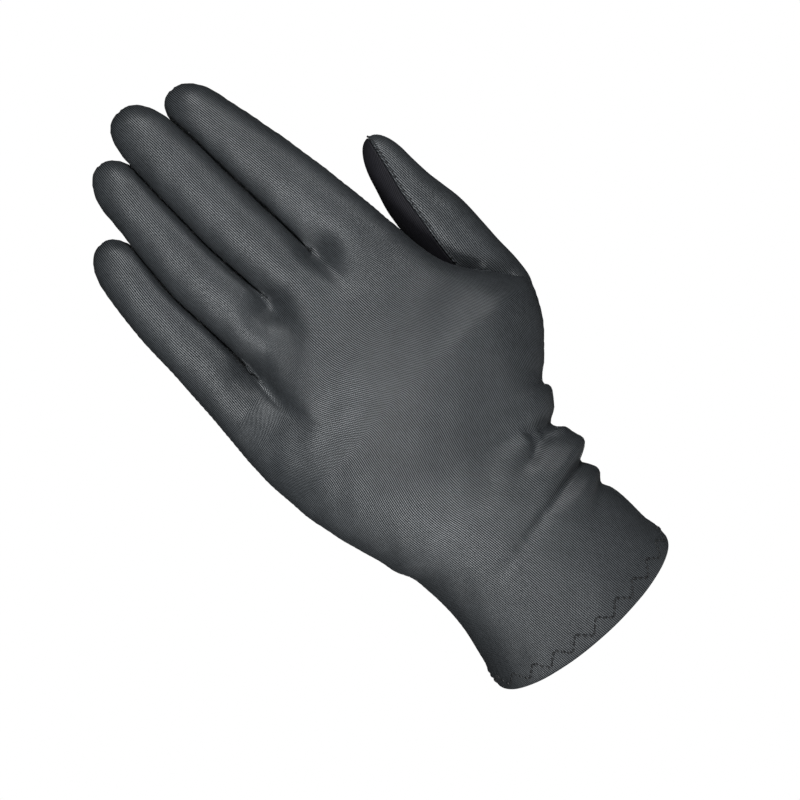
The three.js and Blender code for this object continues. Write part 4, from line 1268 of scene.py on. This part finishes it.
@dataclass
class StitchTree:
    """Geometry Nodes that lay one thread over each edge of a path, dipping in at its ends."""

    thread: float = 0.40 * MM
    cover: float = 0.76
    sides: int = 8
    rings: int = 7

    def build(self, name: str) -> None:
        """Builds the tree with its named inputs."""
        self.group = bpy.data.node_groups.new(name, "GeometryNodeTree")
        node = Tree(self.group).node
        face = self.group.interface
        face.new_socket("Geometry", in_out="INPUT", socket_type="NodeSocketGeometry")
        self.inputs = {}
        for label, kind in (("Thread radius", "NodeSocketFloat"), ("Cover", "NodeSocketFloat"),
                            ("Thread", "NodeSocketMaterial")):
            socket = face.new_socket(label, in_out="INPUT", socket_type=kind)
            self.inputs[label] = socket.identifier
        face.new_socket("Geometry", in_out="OUTPUT", socket_type="NodeSocketGeometry")
        given = node("NodeGroupInput").outputs
        ends = node("GeometryNodeInputMeshEdgeVertices")
        run = node("ShaderNodeVectorMath", {"operation": "SUBTRACT"},
                   {0: ends.outputs["Position 2"], 1: ends.outputs["Position 1"]})
        length = node("ShaderNodeVectorMath", {"operation": "LENGTH"}, {0: run.outputs[0]})
        half = node("ShaderNodeMath", {"operation": "MULTIPLY"},
                    {0: length.outputs["Value"], 1: given["Cover"]})
        size = node("ShaderNodeCombineXYZ", None,
                    {0: half.outputs[0], 1: given["Thread radius"], 2: given["Thread radius"]})
        laid = given["Geometry"]
        for label, value in (("run", run), ("size", size)):
            laid = node("GeometryNodeStoreNamedAttribute",
                        {"data_type": "FLOAT_VECTOR", "domain": "EDGE"},
                        {"Geometry": laid, "Name": label, "Value": value.outputs[0]}).outputs[0]
        points = node("GeometryNodeMeshToPoints", {"mode": "EDGES"}, {"Mesh": laid})
        kept_run, kept_size = (
            node("GeometryNodeInputNamedAttribute", {"data_type": "FLOAT_VECTOR"},
                 {"Name": label}).outputs[0] for label in ("run", "size"))
        turned = node("FunctionNodeAlignRotationToVector", {"axis": "X"}, {"Vector": kept_run})
        bead = node("GeometryNodeMeshUVSphere", None,
                    {"Segments": self.sides, "Rings": self.rings, "Radius": 1.0})
        upright = node("GeometryNodeTransform", None,
                       {"Geometry": bead.outputs["Mesh"], "Rotation": (0.0, math.pi / 2, 0.0)})
        threads = node("GeometryNodeInstanceOnPoints", None,
                       {"Points": points.outputs[0], "Instance": upright.outputs[0],
                        "Rotation": turned.outputs[0], "Scale": kept_size})
        real = node("GeometryNodeRealizeInstances", None, {"Geometry": threads.outputs[0]})
        smooth = node("GeometryNodeSetShadeSmooth", None, {"Geometry": real.outputs[0]})
        dressed = node("GeometryNodeSetMaterial", None,
                       {"Geometry": smooth.outputs[0], "Material": given["Thread"]})
        node("NodeGroupOutput", None, {0: dressed.outputs[0]})

    def sew(self, name: str, path: np.ndarray, edges: list[tuple[int, int]],
            material: bpy.types.Material) -> bpy.types.Object:
        """Sews one thread over each edge.

        Args:
            name: the new piece's name.
            path: the places where the needle goes in.
            edges: which places each stitch joins.
            material: the thread's finish.

        Returns:
            The stitches as a plain mesh.
        """
        mesh = bpy.data.meshes.new(name)
        mesh.from_pydata(path.tolist(), edges, [])
        piece = placed(name, mesh)
        modifier = piece.modifiers.new("stitches", "NODES")
        modifier.node_group = self.group
        modifier[self.inputs["Thread radius"]] = self.thread
        modifier[self.inputs["Cover"]] = self.cover / 2
        modifier[self.inputs["Thread"]] = material
        settle(piece)
        return piece


@dataclass
class Hem:
    """The cuff: cloth turned in all round, held by a zigzag of three stitches a side.

    low and high are the heights of the zigzag's corners, first the x of its first corner on the
    back. clearance lies between the cloth and its turned-in part.
    """

    rows: int = 12
    zigzags: int = 22
    steps: int = 3
    low: float = 2.3 * MM
    high: float = 6.6 * MM
    first: float = 2.5 * MM
    lifted: float = 0.08 * MM
    clearance: float = 0.3 * MM
    edge_round: float = 0.5 * MM
    edge_run: float = 0.5 * MM
    probe: float = 1 * MM

    def band(self, hand: GloveHand) -> PanelMesh:
        """The turned-in cloth, inside the cuff."""
        heights = np.linspace(HEM_SETBACK, HEM_SETBACK + HEM_WIDTH, self.rows)
        rings = [hand.row(z / PALM_LENGTH) for z in heights]
        count = len(rings[0])
        points = np.concatenate(rings)
        faces = []
        for r in range(1, self.rows):
            for c in range(count):
                d = (c + 1) % count
                below = (r - 1) * count
                faces.append((below + c, below + d, r * count + d, r * count + c))
        out = outward_at(points, faces)
        depth = KNIT + self.clearance
        from_edge = np.repeat(np.minimum(heights - heights[0], heights[-1] - heights), count)
        rounded = self.edge_round * np.exp(-from_edge / self.edge_run)
        place, _ = around(rings[0])
        knit = np.stack([np.tile(place, self.rows), np.repeat(heights, count)], axis=-1)
        return close_cloth(points - out * depth, points - out * (depth + KNIT - rounded)[:, None],
                           faces, knit)

    def stitch_path(self, hand: GloveHand) -> tuple[np.ndarray, list[tuple[int, int]]]:
        """Places of the zigzag round the hand's cuff, and the stitches between them."""
        count = 2 * self.steps * self.zigzags
        places = []
        for i in range(count):
            leg, step = divmod(i, self.steps)
            share = step / self.steps
            z = self.high + (self.low - self.high) * (share if leg % 2 == 0 else 1 - share)
            ring = hand.row(z / PALM_LENGTH)
            above = hand.row((z + self.probe) / PALM_LENGTH)
            place, whole = around(ring)
            crown = int(np.argmin(np.abs(ring[:hand.over_back, 0] - self.first)))
            s = (place[crown] + self.first - ring[crown, 0] + whole * i / count) % whole
            j = int(np.searchsorted(place, s, side="right")) - 1
            k = (j + 1) % len(ring)
            run = (place[k] if k else whole) - place[j]
            t = (s - place[j]) / run
            point = ring[j] * (1 - t) + ring[k] * t
            up = above[j] - ring[j]
            out = np.cross(ring[k] - ring[j], up)
            out /= np.linalg.norm(out)
            places.append(point + out * self.lifted)
        edges = [(i, (i + 1) % count) for i in range(count)]
        return np.array(places), edges


@dataclass
class Studio:
    """Camera, plain floor and soft lights."""

    centre: tuple[float, float, float] = (2.47 * MM, -15 * MM, 98.2 * MM)
    roll: float = 42.0
    frame_width: float = 277.8 * MM
    distance: float = 1.2
    sensor: float = 36.0
    clip: float = 20.0
    floor_radius: float = 0.5
    floor_height: float = -0.2
    floor_corners: int = 96
    light_colour: Colour = (0.96, 0.985, 1.0)
    sky_colour: Colour = (0.95, 0.97, 1.0)
    sky_strength: float = 0.05

    def camera(self) -> None:
        """Looks along +Y, turned about its own line of sight."""
        data = bpy.data.cameras.new("camera")
        data.sensor_width = self.sensor
        data.lens = self.sensor * self.distance / self.frame_width
        data.clip_end = self.clip
        cosine, sine = math.cos(math.radians(self.roll)), math.sin(math.radians(self.roll))
        turn = Matrix(((cosine, sine, 0), (0, 0, -1), (-sine, cosine, 0)))
        camera = placed("camera", data)
        place = Vector(self.centre) - Vector((0, self.distance, 0))
        camera.matrix_world = Matrix.Translation(place) @ turn.to_4x4()
        bpy.context.scene.camera = camera

    def light(self, name: str, place: tuple[float, float, float], size: float,
              power: float) -> None:
        """Adds a square soft light that faces the glove."""
        data = bpy.data.lights.new(name, "AREA")
        data.shape = "SQUARE"
        data.size = size
        data.energy = power
        data.color = self.light_colour
        lamp = placed(name, data)
        aim = Vector(self.centre) - Vector(place)
        lamp.matrix_world = (Matrix.Translation(Vector(place))
                             @ aim.to_track_quat("-Z", "Y").to_matrix().to_4x4())

    def floor(self) -> None:
        """A plain pale disc below the glove."""
        count = self.floor_corners
        turn = np.linspace(0, 2 * np.pi, count, endpoint=False)
        ring = np.stack([self.floor_radius * np.cos(turn), self.floor_radius * np.sin(turn),
                         np.full(count, self.floor_height)], axis=-1)
        mesh = bpy.data.meshes.new("floor")
        mesh.from_pydata(ring.tolist(), [], [tuple(range(count))])
        disc = placed("floor", mesh)
        finish = Finish("pale_floor")
        finish.surface({"Base Color": (0.86, 0.86, 0.86, 1.0), "Roughness": 0.9})
        mesh.materials.append(finish.material)

    def world(self) -> None:
        """A white background for the camera, and a dim light from all round for the rest."""
        world = bpy.data.worlds.new("studio")
        bpy.context.scene.world = world
        world.use_nodes = True
        node = Tree(world.node_tree).node
        lit, seen = (node("ShaderNodeBackground", None, {0: (*colour, 1.0), 1: strength})
                     for colour, strength in ((self.sky_colour, self.sky_strength),
                                              ((1.0, 1.0, 1.0), 1.0)))
        shown = node("ShaderNodeLightPath")
        mix = node("ShaderNodeMixShader", None,
                   {0: shown.outputs["Is Camera Ray"], 1: lit.outputs[0], 2: seen.outputs[0]})
        node("ShaderNodeOutputWorld", None, {0: mix.outputs[0]})

    def build(self) -> None:
        """Sets up the whole studio."""
        bpy.context.scene.view_settings.view_transform = "Standard"
        self.camera()
        self.floor()
        self.world()
        self.light("key", (0.42, -0.95, 0.72), size=0.26, power=13)
        self.light("low", (-0.55, -1.00, -0.38), size=0.30, power=12)
        self.light("back_fill", (0.0, 1.6, 0.1), size=0.6, power=14)


def add_piece(piece: bpy.types.Object, material: bpy.types.Material | None, slot: str,
              *nodes: str) -> None:
    """Dresses a finished piece and ties it to the frame.

    Args:
        piece: the finished object.
        material: its finish, or None where its mesh has it already.
        slot: the record's material slot; not used.
        nodes: the model's nodes that it stands for.
    """
    if material is not None:
        piece.data.materials.clear()
        piece.data.materials.append(material)
    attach(piece, "root")
    if nodes:
        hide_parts(*nodes)
    LOG.info("%s: %d faces", piece.name, len(piece.data.polygons))


def main() -> None:
    """Builds the glove and its studio."""
    logging.basicConfig(level=logging.INFO, format="%(message)s")
    Studio().build()
    charcoal, black, thread = (finish.build() for finish in
                               (CHARCOAL_KNIT, BLACK_KNIT, BLACK_THREAD))
    thumb = Thumb()
    thumb.build()
    hand = GloveHand()
    hand.build(thumb)

    hollow = mesh_object("thumb_hollow", filled(thumb, thumb.columns, depth=KNIT, drop=0))
    body = mesh_object("hand_body", filled(hand, 2 * hand.half_ring, depth=-SEAM_GAP,
                                           drop=BODY_DROP))
    for form, panel, cutter, name, finish, slot, nodes in (
            (hand, Panel.BACK, hollow, "back_cloth", charcoal, "charcoal_knit",
             ("back_panel",)),
            (hand, Panel.PALM, hollow, "palm_cloth", charcoal, "charcoal_knit",
             ("palm_panel", "finger_fronts")),
            (thumb, Panel.BACK, body, "thumb_back_cloth", charcoal, "charcoal_knit",
             ("thumb_back",)),
            (thumb, Panel.PALM, body, "thumb_front_cloth", black, "black_knit",
             ("thumb_front",))):
        piece = mesh_object(name, cut_panel(form, panel, CLOTH_GAP))
        cut_away(piece, cutter)
        add_piece(piece, finish, slot, *nodes)
    discard(hollow)
    discard(body)

    hem = Hem()
    add_piece(mesh_object("turned_hem", hem.band(hand)), charcoal, "charcoal_knit", "cuff_hem")
    stitches = StitchTree()
    stitches.build("stitches")
    path, edges = hem.stitch_path(hand)
    add_piece(stitches.sew("hem_stitches", path, edges, thread), None, "black_thread")
    places = thumb.seam_path(DOTS_FROM, DOTS_TO, aside=1.15 * MM, pitch=1.9 * MM,
                             lifted=0.12 * MM)
    ends = np.repeat(places, 2, axis=0)
    ends[1::2, 2] += DOT_LENGTH
    dots = [(i, i + 1) for i in range(0, len(ends), 2)]
    add_piece(stitches.sew("thumb_stitches", ends, dots, thread), None, "black_thread")


if __name__ == "__main__":
    main()
